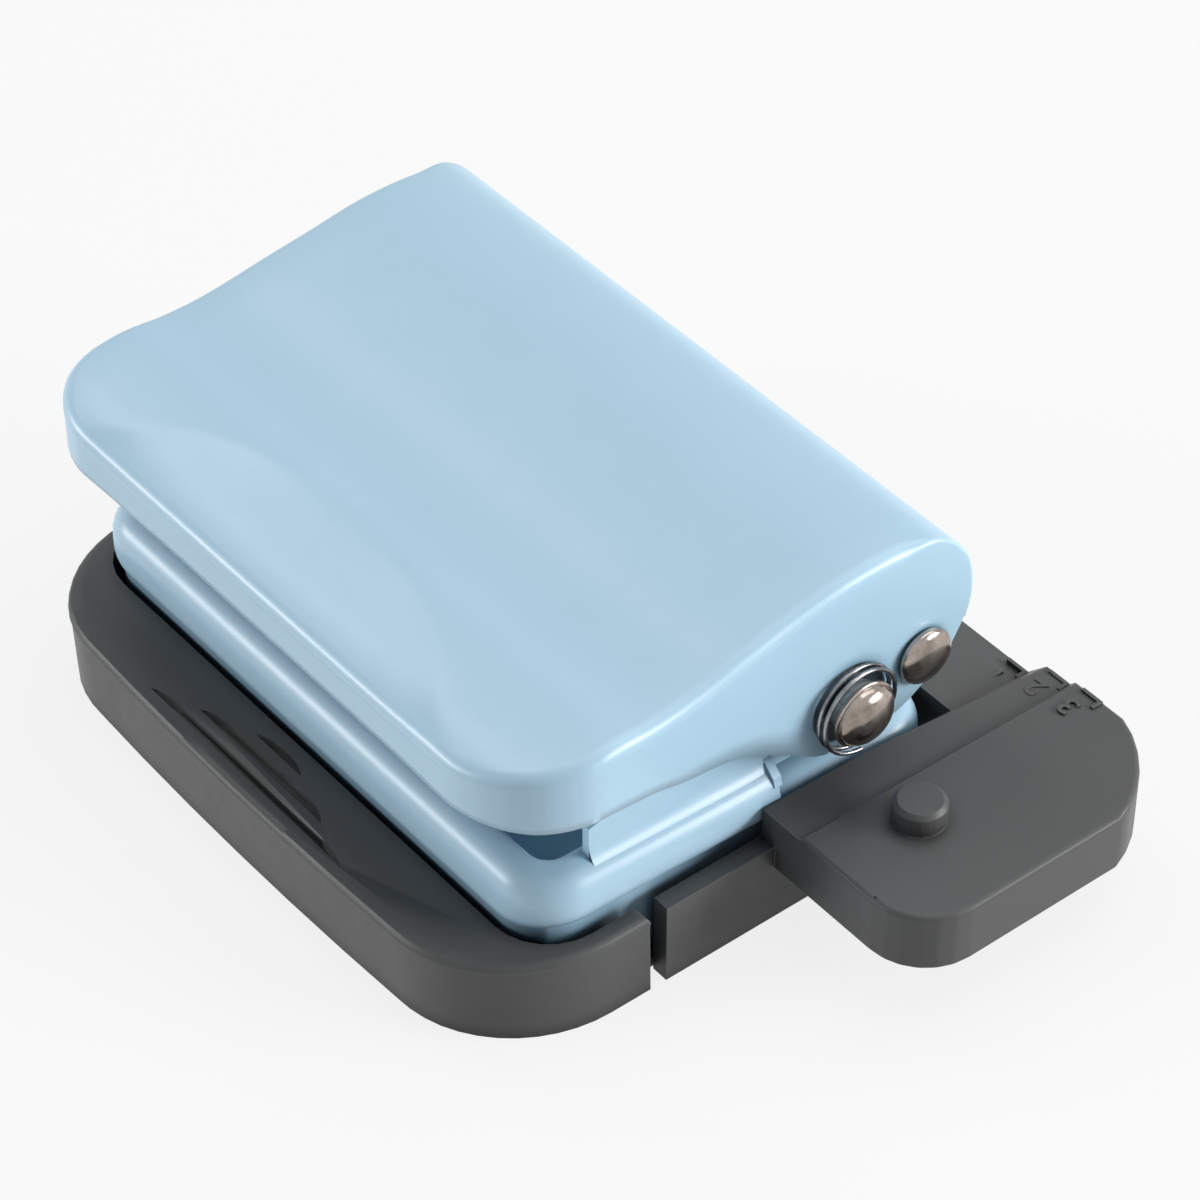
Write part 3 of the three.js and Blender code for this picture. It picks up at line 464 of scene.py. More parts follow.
def keep_mesh(name, mesh, material, node, smooth_angle):
    mesh.transform(TO_FRAME)
    mesh.materials.clear()
    mesh.materials.append(material)
    mesh.shade_smooth()
    mesh.set_sharp_from_angle(angle=math.radians(smooth_angle))
    piece = new_object(name, mesh)
    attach(piece, body_of_node[node])
    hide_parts(node)
    print(name, "faces", len(mesh.polygons))
    return piece


def keep_piece(name, shape, material, node, smooth_angle=40):
    return keep_mesh(name, mesh_of(name, shape), material, node, smooth_angle)


def bevelled(holder, width):
    """Breaks the sharp edges. The width is in the units that the mesh has by then."""
    bevel = holder.modifiers.new("softened_edges", "BEVEL")
    bevel.width = width
    bevel.segments = 2
    bevel.limit_method = "ANGLE"
    bevel.angle_limit = SHARP_ANGLE
    bevel.miter_outer = "MITER_ARC"


def keep_flat(piece):
    """Lets the large flat faces set the normals, so that no shade creeps in from the edges."""
    even = piece.modifiers.new("flat_faces_stay_flat", "WEIGHTED_NORMAL")
    even.keep_sharp = True


def soften(piece, radius):
    bevelled(piece, radius * MM)
    keep_flat(piece)


# %% [markdown]
# ## Sheet from a plan
# Handle and frame are each drawn from a sheet: a flat plan, round at its corners, whose rim is turned over
# by a fillet and drawn down as a wall. The plan starts as one face. Planes cut it where it will bend, and
# the rim is extruded ring by ring. Each new vertex remembers the rim point that it came from and its ring's
# number, so one placing function can then bend the flat sheet into its real form.

# %% Helpers for sheet
TOUCHING, ON_PLANE = 1e-3, 1e-4


def corner_arc(centre, radius, start, steps):
    return [
        Vector((centre[0] + radius * math.cos(start + math.pi / 2 * i / steps),
                centre[1] + radius * math.sin(start + math.pi / 2 * i / steps), 0))
        for i in range(steps + 1)
    ]


def flat_plan(points):
    shape = bmesh.new()
    shape.faces.new([shape.verts.new(p) for p in points])
    return shape


def cut_plan(shape, axis, places, keep=lambda face: True):
    normal = Vector((1, 0, 0)) if axis == "x" else Vector((0, 1, 0))
    for place in places:
        faces = [f for f in shape.faces if keep(f)]
        edges = list({e for f in faces for e in f.edges})
        verts = list({v for f in faces for v in f.verts})
        bmesh.ops.bisect_plane(shape, geom=verts + edges + faces, plane_co=normal * place, plane_no=normal,
                               dist=ON_PLANE)


def spread(low, high, step):
    count = max(1, round((high - low) / step))
    return [low + (high - low) * i / count for i in range(1, count)]


def add_rings(shape, rings, open_edge=lambda edge: False):
    layers = [shape.verts.layers.float.new(name) for name in ("rim_x", "rim_y", "ring")]
    for vert in shape.verts:
        vert[layers[0]], vert[layers[1]], vert[layers[2]] = vert.co.x, vert.co.y, 0
    edges = [e for e in shape.edges if e.is_boundary and not open_edge(e)]
    for ring in range(1, rings + 1):
        made = bmesh.ops.extrude_edge_only(shape, edges=edges)["geom"]
        for vert in made:
            if isinstance(vert, bmesh.types.BMVert):
                vert[layers[2]] = ring
        edges = [e for e in made if isinstance(e, bmesh.types.BMEdge)]
    return layers


def place_sheet(shape, layers, placing):
    for vert in shape.verts:
        vert.co = placing(vert[layers[0]], vert[layers[1]], round(vert[layers[2]]))


def finish_sheet(shape):
    bmesh.ops.remove_doubles(shape, verts=shape.verts, dist=TOUCHING)
    bmesh.ops.recalc_face_normals(shape, faces=shape.faces)


def thicken(piece, thickness):
    wall = piece.modifiers.new("sheet", "SOLIDIFY")
    wall.thickness = thickness * MM
    wall.offset = -1
    wall.use_even_offset = False
    wall.use_quality_normals = True


def falling(value, start, end):
    """0 before start, 1 after end, and a smooth rise between."""
    share = min(max((value - start) / (end - start), 0), 1)
    return share * share * (3 - 2 * share)


# %% [markdown]
# ## Handle
# The handle is one pressed sheet. Seen from the side, its top rises from the front edge in a slow wave and
# rolls over at the rear, and its skirts hang down in a lobe that carries the press rod and the pivot. A
# thumb scoop is struck into the front: a slightly steeper surface that meets the top along a curved crease.
# The flat plan is as long as the side line, and is bent along it. The fillet gets small where the roll
# begins, and the left front corner is a little tighter than the right one.

# %% Handle sizes
HANDLE_SHEET, FRAME_SHEET = 0.5, 1.0
_, handle_high = real_box("handle_shell")
HANDLE_FLARE = 1.1
FLARE_START, FLARE_END = -8.0, -32.4
handle_half = handle_high.x - HANDLE_FLARE
LEFT_CORNER, RIGHT_CORNER = 9.5, 11.5
HANDLE_FILLET, ROLL_FILLET = 1.6, 0.5
ROLL_START, ROLL_FULL = 6.5, 11.0
FRONT_SKIRT, LINE_STEPS = 28.0, 8
TOP_LINE = [
    (-42.3, 34.05), (-40.4, 34.75), (-38.0, 35.3), (-31.7, 36.15), (-27.0, 36.0), (-23.0, 36.2),
    (-19.0, 36.8), (-14.5, 37.75), (-9.7, 38.65), (-5.7, 39.35), (-1.7, 39.95), (2.5, 40.15), (6.3, 40.0),
    (9.4, 39.55), (11.5, 38.75), (13.4, 37.2), (15.2, 34.6), (16.0, 31.6), (15.95, 28.4), (15.35, 26.4),
]
SKIRT_LINE = [
    (-32.4, 28.0), (-26.0, 27.2), (-22.6, 26.3), (-14.8, 24.8), (-8.7, 21.2), (-4.5, 18.5), (-2.0, 17.95),
    (3.0, 17.95), (7.6, 19.0), (12.4, 22.6), (14.55, 25.8),
]


def smooth_line(points):
    """A curve through the points, with each point's tangent along the line between its neighbours."""
    ends = [points[0], *points, points[-1]]
    line = []
    for i in range(1, len(ends) - 2):
        a, b, c, d = (Vector(p) for p in ends[i - 1:i + 3])
        for k in range(LINE_STEPS):
            t = k / LINE_STEPS
            line.append(0.5 * (2 * b + (c - a) * t + (2 * a - 5 * b + 4 * c - d) * t ** 2
                               + (3 * b - a - 3 * c + d) * t ** 3))
    return [*line, Vector(points[-1])]


def measured(line):
    lengths = [0.0]
    for before, after in zip(line, line[1:]):
        lengths.append(lengths[-1] + (after - before).length)
    return lengths


def along(line, lengths, distance):
    """The point at a distance along the line, and the line's direction there."""
    distance = min(max(distance, 0), lengths[-1])
    i = next(k for k in range(1, len(lengths)) if lengths[k] >= distance)
    share = (distance - lengths[i - 1]) / (lengths[i] - lengths[i - 1])
    before, after = line[max(i - 2, 0)], line[min(i + 1, len(line) - 1)]
    tangent_here = (line[i] - line[i - 1]).normalized()
    smooth = (after - before).normalized()
    return line[i - 1].lerp(line[i], share), (tangent_here + smooth).normalized()


top_line = smooth_line(TOP_LINE)
top_lengths = measured(top_line)
skirt_line = smooth_line(SKIRT_LINE)
skirt_lengths = measured(skirt_line)
print("handle half width", round(handle_half, 2), "top line", round(top_lengths[-1], 1), "mm long")

# %% Handle shape
SCOOP_TOP, SCOOP_FALL, SCOOP_HALF, SCOOP_CENTRE = -29.4, 11.3, 28.0, -1.8
SCOOP_SLOPE, SCOOP_REACH, CREASE_SOFTNESS = 0.17, 3.6, 0.4
FILLET_STEPS, SKIRT_RINGS = 7, 5
FIRST_RING_SHARE, NO_SLOPE = 0.06, 1e-4


def scoop_depth(x, y):
    crease = SCOOP_TOP - SCOOP_FALL * ((x - SCOOP_CENTRE) / SCOOP_HALF) ** 2
    beyond = crease - y
    beyond = (math.sqrt(beyond ** 2 + CREASE_SOFTNESS ** 2) + beyond) / 2
    return SCOOP_SLOPE * SCOOP_REACH * (1 - math.exp(-beyond / SCOOP_REACH))


def half_at(y):
    return handle_half + HANDLE_FLARE * min(max((FLARE_START - y) / (FLARE_START - FLARE_END), 0), 1)


plan_half = handle_half - HANDLE_FILLET
plan_length = top_lengths[-1]


def plan_corner(x):
    return (RIGHT_CORNER if x > 0 else LEFT_CORNER) - HANDLE_FILLET


def rim_direction(x, v):
    side = 1 if x > 0 else -1
    corner = plan_corner(x)
    centre_x = side * (plan_half - corner)
    if v < corner and abs(x) > abs(centre_x):
        return Vector((x - centre_x, v - corner)).normalized()
    if v < NO_SLOPE:
        return Vector((0, -1))
    return Vector((side, 0))


def place_handle(x, v, ring):
    point, tangent = along(top_line, top_lengths, v)
    normal = Vector((0, -tangent.y, tangent.x))
    tangent_3d = Vector((0, tangent.x, tangent.y))
    y = point.x
    fillet = HANDLE_FILLET + (ROLL_FILLET - HANDLE_FILLET) * falling(y, ROLL_START, ROLL_FULL)
    x_real = x * (half_at(y) - fillet) / plan_half
    rim = Vector((x_real, y, point.y)) - normal * scoop_depth(x_real, y)
    if ring == 0:
        return rim
    outward = rim_direction(x, v)
    angle = math.pi / 2 * min(ring, FILLET_STEPS) / FILLET_STEPS
    reach = fillet * math.sin(angle)
    turned = rim + Vector((outward.x * reach, 0, 0)) + tangent_3d * outward.y * reach
    turned -= normal * fillet * (1 - math.cos(angle))
    if ring <= FILLET_STEPS:
        return turned
    share = (ring - FILLET_STEPS) / SKIRT_RINGS
    share = FIRST_RING_SHARE if ring == FILLET_STEPS + 1 else share
    edge = Vector((turned.x, turned.y, FRONT_SKIRT))
    if abs(outward.y) < NO_SLOPE:
        corner = plan_corner(x)
        fraction = (v - corner) / (plan_length - corner)
        low, _ = along(skirt_line, skirt_lengths, fraction * skirt_lengths[-1])
        edge = Vector((math.copysign(half_at(low.x), x), low.x, low.y))
        if v <= corner + TOUCHING:
            edge.y = turned.y
    return turned.lerp(edge, share)


CORNER_STEPS = 14
EDGE_CUT, FRONT_CUTS, SCOOP_END, ROLL_CUTS, SIDE_CUTS = 0.4, 1.0, 16.0, 45.0, 36.0
SCOOP_STEP, TOP_STEP, ROLL_STEP, SIDE_STEP = 0.6, 1.5, 0.8, 1.2
left, right = plan_corner(-1), plan_corner(1)
handle_plan = flat_plan([
    *corner_arc((-plan_half + left, left), left, math.pi, CORNER_STEPS),
    *corner_arc((plan_half - right, right), right, math.pi * 1.5, CORNER_STEPS),
    Vector((plan_half, plan_length, 0)), Vector((-plan_half, plan_length, 0)),
])
cut_plan(handle_plan, "y", [
    EDGE_CUT, FRONT_CUTS, *spread(FRONT_CUTS, SCOOP_END, SCOOP_STEP), SCOOP_END,
    *spread(SCOOP_END, ROLL_CUTS, TOP_STEP), ROLL_CUTS, *spread(ROLL_CUTS, plan_length, ROLL_STEP),
])
cut_plan(handle_plan, "x", spread(-SIDE_CUTS, SIDE_CUTS, SIDE_STEP))
handle_layers = add_rings(
    handle_plan, FILLET_STEPS + SKIRT_RINGS, lambda e: all(v.co.y > plan_length - TOUCHING for v in e.verts),
)
place_sheet(handle_plan, handle_layers, place_handle)
finish_sheet(handle_plan)
handle = keep_piece("handle_shell_pressed", handle_plan, paint, "handle_shell", smooth_angle=50)
thicken(handle, HANDLE_SHEET)

# %% [markdown]
# ## Frame
# The frame is a pan drawn from a thicker sheet. Its shoulder is round, high in front where the recess lies
# and low behind, where the sheets of paper go in. Under the shoulder the wall turns in again before it dives
# into the tray, which leaves a dark joint between the two. It turns more at the sides than in front. After
# the rim rings are placed, the recess face is inset and pushed down in small steps, which gives it a rounded
# edge, a steep wall and a rounded foot.

# %% Frame sizes
frame_low, frame_high = real_box("frame_shell")
frame_half = frame_high.x
FRAME_FRONT, FRAME_REAR, FRAME_FOOT = frame_low.y, frame_high.y, frame_low.z
FRAME_CORNER, SHOULDER = 6.5, 3.5
_, die_high = real_box("die_plate")
RIM_TOP, THROAT_FLOOR = 18.0, die_high.z
RIM_FALL, FALL_START, FALL_END = 0.7, -33.0, -9.0
RECESS_REAR, STEP_START, STEP_END = -10.8, -7.9, -7.45
DIE_CLEARANCE, DIE_END, MIDDLE = 0.3, 4.5, 1.0
SHOULDER_STEPS, UNDER_STEPS = 9, 6
UNDER_RADIUS = 2.6
FRONT_UNDER_START, SIDE_UNDER_START = 1.9, 0.9
FRONT_UNDER_TURN, SIDE_UNDER_TURN = math.radians(40), math.radians(62)

pan_half = frame_half - SHOULDER
pan_front, pan_rear = FRAME_FRONT + SHOULDER, FRAME_REAR - SHOULDER
pan_corner = FRAME_CORNER - SHOULDER


def pan_direction(x, y):
    side = 1 if x > 0 else -1
    centre_x = side * (pan_half - pan_corner)
    for end, sign in ((pan_front, -1), (pan_rear, 1)):
        centre_y = end - sign * pan_corner
        if (y - centre_y) * sign > 0 and abs(x) > abs(centre_x):
            return Vector((x - centre_x, y - centre_y)).normalized()
        if abs(y - end) < TOUCHING:
            return Vector((0, sign))
    return Vector((side, 0))


def pan_top(y):
    high = RIM_TOP - RIM_FALL * falling(y, FALL_START, FALL_END)
    return high + (THROAT_FLOOR - high) * falling(y, STEP_START, STEP_END)


def place_frame(x, y, ring):
    if ring == 0:
        return Vector((x, y, pan_top(y)))
    outward = pan_direction(x, y)
    angle = math.pi / 2 * min(ring, SHOULDER_STEPS) / SHOULDER_STEPS
    reach = SHOULDER * math.sin(angle)
    top = pan_top(y) - SHOULDER * (1 - math.cos(angle))
    under = ring - SHOULDER_STEPS - 1
    if under >= 0:
        sideways = abs(outward.x)
        full_turn = FRONT_UNDER_TURN + (SIDE_UNDER_TURN - FRONT_UNDER_TURN) * sideways
        turn = full_turn * min(under, UNDER_STEPS) / UNDER_STEPS
        top -= FRONT_UNDER_START + (SIDE_UNDER_START - FRONT_UNDER_START) * sideways
        top -= UNDER_RADIUS * math.sin(turn)
        reach -= UNDER_RADIUS * (1 - math.cos(turn))
    if under > UNDER_STEPS:
        top = FRAME_FOOT
    return Vector((x + outward.x * reach, y + outward.y * reach, top))


# %% Frame shape
PAN_CORNER_STEPS, STEP_CUTS = 10, 0.1
corner_x = pan_half - pan_corner
front_y, rear_y = pan_front + pan_corner, pan_rear - pan_corner
pan = flat_plan([
    *corner_arc((-corner_x, front_y), pan_corner, math.pi, PAN_CORNER_STEPS),
    *corner_arc((corner_x, front_y), pan_corner, math.pi * 1.5, PAN_CORNER_STEPS),
    *corner_arc((corner_x, rear_y), pan_corner, 0, PAN_CORNER_STEPS),
    *corner_arc((-corner_x, rear_y), pan_corner, math.pi / 2, PAN_CORNER_STEPS),
])
window_half = die_high.x - DIE_END + DIE_CLEARANCE
window_depth = die_high.y + DIE_CLEARANCE


def in_throat(face):
    return face.calc_center_median().y > STEP_END


def round_window(edge):
    return all(abs(v.co.x) <= window_half + TOUCHING and abs(v.co.y) <= window_depth + TOUCHING
               for v in edge.verts)


cut_plan(pan, "y", [RECESS_REAR, *spread(STEP_START - STEP_CUTS, STEP_END + STEP_CUTS, STEP_CUTS)])
cut_plan(pan, "y", [-window_depth, window_depth], in_throat)
cut_plan(pan, "x", [-window_half, window_half], in_throat)
window = [f for f in pan.faces if f.calc_center_median().length < MIDDLE]
bmesh.ops.delete(pan, geom=window, context="FACES_ONLY")
pan_layers = add_rings(pan, SHOULDER_STEPS + UNDER_STEPS + 2, round_window)
place_sheet(pan, pan_layers, place_frame)
bmesh.ops.recalc_face_normals(pan, faces=pan.faces)

# %% Recess
RECESS_STEPS = 5
RECESS_EDGE, RECESS_FOOT, RECESS_DRAFT = 0.7, 1.3, 0.25
recess = [f for f in pan.faces if f.calc_center_median().y < RECESS_REAR and len(f.verts) > 12]
recess_top = max(v.co.z for v in recess[0].verts)


def push(inward, down):
    bmesh.ops.inset_region(pan, faces=recess, thickness=inward, depth=-down, use_even_offset=True,
                           use_boundary=True)


def arc_parts(radius, steps):
    """A quarter round in small steps: how far each one goes along the first side and along the second."""
    for step in range(steps):
        before, after = (math.pi / 2 * k / steps for k in (step, step + 1))
        yield radius * (math.sin(after) - math.sin(before)), radius * (math.cos(before) - math.cos(after))


for inward, down in arc_parts(RECESS_EDGE, RECESS_STEPS):
    push(inward, down)
push(RECESS_DRAFT, recess_top - THROAT_FLOOR - RECESS_EDGE - RECESS_FOOT)
for down, inward in arc_parts(RECESS_FOOT, RECESS_STEPS):
    push(inward, down)
finish_sheet(pan)
frame_pan = keep_piece("frame_pan_drawn", pan, paint, "frame_shell", smooth_angle=50)
thicken(frame_pan, FRAME_SHEET)
print("recess", round(recess_top, 2), "to", THROAT_FLOOR)

# %% [markdown]
# The two ears stand on the pan's sides and carry the pivot pin. Their outline, with the slot for the press
# rod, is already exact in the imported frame, so a copy of it is cut down to the ears, in a front and a rear
# part, because the pan is lower behind. A concave strip at their foot blends them into the shoulder, as the
# drawn sheet does, and a root below each one closes the joint where the pan's rim gets lower.

# %% Ears
ONE_PLANE = math.radians(0.5)


def copied(node):
    """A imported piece's mesh in millimetres, with its loose triangles merged into whole faces."""
    shape = bmesh.new()
    shape.from_mesh(nodes[node].data)
    bmesh.ops.transform(shape, matrix=FROM_FRAME, verts=shape.verts)
    bmesh.ops.remove_doubles(shape, verts=shape.verts, dist=TOUCHING)
    bmesh.ops.dissolve_limit(
        shape, angle_limit=ONE_PLANE, use_dissolve_boundaries=False, verts=shape.verts, edges=shape.edges,
        delimit={"NORMAL"},
    )
    return shape


def sliced(shape, place, normal):
    """Keeps what lies against the normal and closes the cut."""
    geometry = list(shape.verts) + list(shape.edges) + list(shape.faces)
    bmesh.ops.bisect_plane(shape, geom=geometry, plane_co=place, plane_no=normal, dist=ON_PLANE,
                           clear_outer=True)
    bmesh.ops.holes_fill(shape, edges=[e for e in shape.edges if e.is_boundary])


def merged(shapes):
    whole = bmesh.new()
    for shape in shapes:
        mesh = mesh_of("part", shape)
        whole.from_mesh(mesh)
        bpy.data.meshes.remove(mesh)
    return whole


EAR_INSET, EAR_SHEET = 2.3, 1.0
EAR_OUTER = frame_half - EAR_INSET
EAR_INNER = EAR_OUTER - EAR_SHEET
EAR_FRONT, EAR_BACK, REAR_PART_RISE, CUT_MARGIN = -30.8, -8.5, 1.5, 0.02
ear_parts = []
for side in (-1, 1):
    for rearward, foot in ((1, RIM_TOP + CUT_MARGIN), (-1, THROAT_FLOOR + REAR_PART_RISE)):
        ear = copied("frame_shell")
        sliced(ear, Vector((side * (EAR_INNER - CUT_MARGIN), 0, 0)), Vector((-side, 0, 0)))
        sliced(ear, Vector((0, EAR_BACK, 0)), Vector((0, rearward, 0)))
        sliced(ear, Vector((0, 0, foot)), Vector((0, 0, -1)))
        ear_parts.append(ear)

ears = merged(ear_parts)
bmesh.ops.remove_doubles(ears, verts=ears.verts, dist=TOUCHING)
print("ear faces", len(ears.faces))

# %% Foot of the ears
FOOT_REACH, FOOT_RISE, FOOT_SINK, FOOT_TUCK, FOOT_STEPS = 1.3, 1.5, 0.2, 0.9, 6
ROOT_DEPTH, ROOT_OVERLAP, EAR_EDGE = 1.2, 0.2, 0.2


def foot_strip(shape, side):
    rows = []
    for y in (EAR_FRONT, EAR_BACK):
        top = pan_top(y) - FOOT_SINK
        row = []
        for k in range(FOOT_STEPS + 1):
            angle = math.pi / 2 * k / FOOT_STEPS
            away = 1 - math.sin(angle)
            row.append(shape.verts.new((
                side * (EAR_OUTER + FOOT_REACH * away), y,
                top + FOOT_RISE * (1 - math.cos(angle)) - FOOT_TUCK * away,
            )))
        rows.append(row)
    for k in range(FOOT_STEPS):
        shape.faces.new((rows[0][k], rows[0][k + 1], rows[1][k + 1], rows[1][k]))


for side in (-1, 1):
    foot_strip(ears, side)
    root_x, root_y = side * (EAR_INNER + EAR_OUTER) / 2, (EAR_FRONT + EAR_BACK) / 2
    root = Matrix.Translation((root_x, root_y, RIM_TOP - ROOT_DEPTH / 2))
    root_size = Matrix.Diagonal((EAR_OUTER - EAR_INNER, EAR_BACK - EAR_FRONT, ROOT_DEPTH + ROOT_OVERLAP, 1))
    bmesh.ops.create_cube(ears, size=1, matrix=root @ root_size)
bmesh.ops.recalc_face_normals(ears, faces=ears.faces)
ear_piece = keep_piece("frame_ears", ears, paint, "frame_shell")
soften(ear_piece, EAR_EDGE)

# %% [markdown]
# ## Moulded plastic
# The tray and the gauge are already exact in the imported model, down to the ribs under them. What a mould
# adds is a small radius on every edge, where a line of light sits, and a parting line where its halves met.
# So each is copied, its triangles are merged into whole faces, and a bevel modifier rounds what is sharper
# than the limit. The tray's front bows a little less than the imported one, and its wall is drafted: it runs
# in towards its foot, so that the tray leaves the mould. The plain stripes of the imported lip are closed
# first, and the next step cuts them again with round rims.

# %% Tray wall
LIP_GAP, LIP_MARGIN, GROOVE_REACH, GROOVE_START, GROOVE_END = 0.3, 0.7, 18.0, 1.5, 0.5
tray_low, tray_high = real_box("chip_tray")
TRAY_HALF, LIP_TOP, LIP_FRONT, LIP_INNER = tray_high.x, tray_high.z, tray_low.y, FRAME_FRONT - LIP_GAP
FOOT_LEVEL, PARTING, PARTING_STEP, PARTING_END, WALL_DRAFT = 0.1, 9.25, 0.15, -24.0, 0.57
CORNER_X, CORNER_Y, CORNER_RADIUS, OUTER_SKIN = 26.7, -31.6, 15.0, 0.6
FRONT_BOW, LESS_BOW = 1.9, 1.25
tray = copied("chip_tray")


def in_old_stripe(place):
    along_lip = LIP_FRONT + GROOVE_START < place.y < LIP_INNER - GROOVE_END
    return abs(place.x) < GROOVE_REACH and along_lip and place.z > LIP_TOP - LIP_MARGIN


def upright(face):
    return abs(face.normal.z) < 0.1


def on_outer_wall(face):
    """Whether a face is upright, reaches from the table past the parting line and looks outward."""
    heights = [v.co.z for v in face.verts]
    tall = min(heights) < FOOT_LEVEL and max(heights) > PARTING
    middle = face.calc_center_median()
    outward = (middle + face.normal).xy.length > middle.xy.length
    return upright(face) and tall and outward and middle.y < PARTING_END


def outside(place):
    across = abs(place.x) / CORNER_X
    if across <= 1:
        return place.y < LIP_FRONT + FRONT_BOW * across ** 2 + OUTER_SKIN
    return math.hypot(abs(place.x) - CORNER_X, place.y - CORNER_Y) > CORNER_RADIUS - OUTER_SKIN


bmesh.ops.delete(tray, geom=[v for v in tray.verts if in_old_stripe(v.co)], context="VERTS")
bmesh.ops.holes_fill(tray, edges=[e for e in tray.edges if e.is_boundary])
tray.normal_update()
outer_wall = [f for f in tray.faces if on_outer_wall(f)]
wall_parts = {e for f in outer_wall for e in f.edges} | {v for f in outer_wall for v in f.verts}
bmesh.ops.bisect_plane(tray, geom=list(wall_parts | set(outer_wall)), plane_co=(0, 0, PARTING),
                       plane_no=(0, 0, 1), dist=ON_PLANE)
tray.normal_update()
for vert in tray.verts:
    on_wall = [f.normal for f in vert.link_faces if upright(f) and abs(vert.co.z - PARTING) < TOUCHING]
    if on_wall:
        vert.co -= sum(on_wall, Vector()).normalized() * PARTING_STEP
    if outside(vert.co) and vert.co.y < CORNER_Y:
        across = abs(vert.co.x) / CORNER_X
        share = min((CORNER_Y - vert.co.y) / (CORNER_RADIUS - 1), 1)
        vert.co.y += share * (WALL_DRAFT * (1 - vert.co.z / LIP_TOP) - LESS_BOW * min(across, 1) ** 2)
print("tray", len(tray.faces), "faces, wall faces", len(outer_wall))

# %% [markdown]
# Three stripes with pointed ends are pressed into the lip, one behind the other. Each is cut by a tool of
# its shape: the stripe's outline as one face, pushed down and in by small steps, so that the cut has a
# rounded rim, and then straight to a floor that is deepest at the front. A boolean takes the tools away from
# the bevelled tray, and the result is kept as a plain mesh.

# %% Stripes in the lip
TRAY_EDGE, STRIPE_START, STRIPE_DRAFT = 0.22, 0.4, 0.04
STRIPE_RIM, STRIPE_SHALLOW, STRIPE_DEEP, RIM_STEPS = 0.1, 1.2, 1.3, 3
TIP_STEPS, TIP_CURVE = 5, 2.5
STRIPES = {
    "long": dict(centre=-0.35, half=17.1, outer=-46.6, inner=-45.4, shoulder=4.7),
    "middle": dict(centre=-0.5, half=10.9, outer=-44.4, inner=-43.0, shoulder=4.4),
    "short": dict(centre=-0.55, half=4.2, outer=-42.05, inner=-40.85, shoulder=4.2),
}


def stripe_tool(centre, half, outer, inner, shoulder):
    shape = bmesh.new()
    shares = [k / TIP_STEPS for k in range(TIP_STEPS + 1)]
    curve = [(half - shoulder * share, outer + (inner - outer) * (1 - (1 - share) ** TIP_CURVE))
             for share in shares]
    outline = [(centre - x, y) for x, y in curve] + [(centre + x, y) for x, y in reversed(curve)]
    tip = [shape.faces.new([shape.verts.new((x, y, LIP_TOP + STRIPE_START)) for x, y in outline])]

    def sink(inward, down):
        bmesh.ops.inset_region(shape, faces=tip, thickness=0, depth=down, use_boundary=True)
        middle = (outer + inner) / 2
        narrower = 1 - 2 * inward / (inner - outer)
        for vert in tip[0].verts:
            vert.co.x = centre + (vert.co.x - centre) * (1 - inward / half)
            vert.co.y = middle + (vert.co.y - middle) * narrower

    sink(0, STRIPE_START)
    for inward, down in arc_parts(STRIPE_RIM, RIM_STEPS):
        sink(inward, down)
    sink(STRIPE_DRAFT, STRIPE_SHALLOW - STRIPE_RIM)
    for vert in tip[0].verts:
        slope = (inner - vert.co.y) / (inner - outer)
        vert.co.z = LIP_TOP - STRIPE_SHALLOW - (STRIPE_DEEP - STRIPE_SHALLOW) * slope
    bmesh.ops.holes_fill(shape, edges=[e for e in shape.edges if e.is_boundary])
    bmesh.ops.recalc_face_normals(shape, faces=shape.faces)
    return shape


def held(name, shape):
    return new_object(name, mesh_of(name, shape))


def taken_away(holder, tools):
    for tool in tools:
        cut = holder.modifiers.new("cut", "BOOLEAN")
        cut.operation = "DIFFERENCE"
        cut.solver = "EXACT"
        cut.object = tool
    mesh = plain_mesh(holder)
    for tool in tools:
        bpy.data.objects.remove(tool)
    return mesh


tray_holder = held("tray_blank", tray)
bevelled(tray_holder, TRAY_EDGE)
stripe_tools = [held(f"stripe_tool_{name}", stripe_tool(**sizes)) for name, sizes in STRIPES.items()]
tray_mesh = taken_away(tray_holder, stripe_tools)
tray_piece = keep_mesh("chip_tray_moulded", tray_mesh, plastic, "chip_tray", smooth_angle=35)
keep_flat(tray_piece)

# %% [markdown]
# The gauge's wing has a large flattened corner at the rear and a round one in front. Its outline comes from
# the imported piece, where it is made of short straight facets. The rear corner is pushed in a little. A first
# bevel on the upright facet edges makes the outline rounder, a second one gives the top's rim the wide
# radius that the hand feels, and the modifier then breaks every other edge.

# %% Gauge
WING_TOP, WING_RIM, RIM_SEGMENTS = 14.25, 0.6, 4
WING_CORNER = Vector((52.8, 16.6, 0))
CORNER_FLATTENING = 0.42
FACET_RADIUS, FACET_SEGMENTS, LEAST_FACET, MOST_FACET = 0.35, 2, 5, 20
LEVEL_MARGIN, GAUGE_EDGE = 0.1, 0.2
gauge = copied("paper_gauge")
for vert in gauge.verts:
    arm = Vector((vert.co.x, vert.co.y, 0)) - WING_CORNER
    if arm.x > 0 and arm.y > 0:
        rise = (arm.x + arm.y) / math.sqrt(2) - arm.length / math.sqrt(2)
        vert.co -= Vector((1, 1, 0)).normalized() * rise * CORNER_FLATTENING


def is_facet_edge(edge):
    """Whether an edge of the wing is upright and lies between two facets of one round stretch."""
    direction = (edge.verts[1].co - edge.verts[0].co).normalized()
    bend = math.degrees(edge.calc_face_angle(0))
    return abs(direction.z) > 0.99 and LEAST_FACET < bend < MOST_FACET and edge.verts[0].co.x > TRAY_HALF


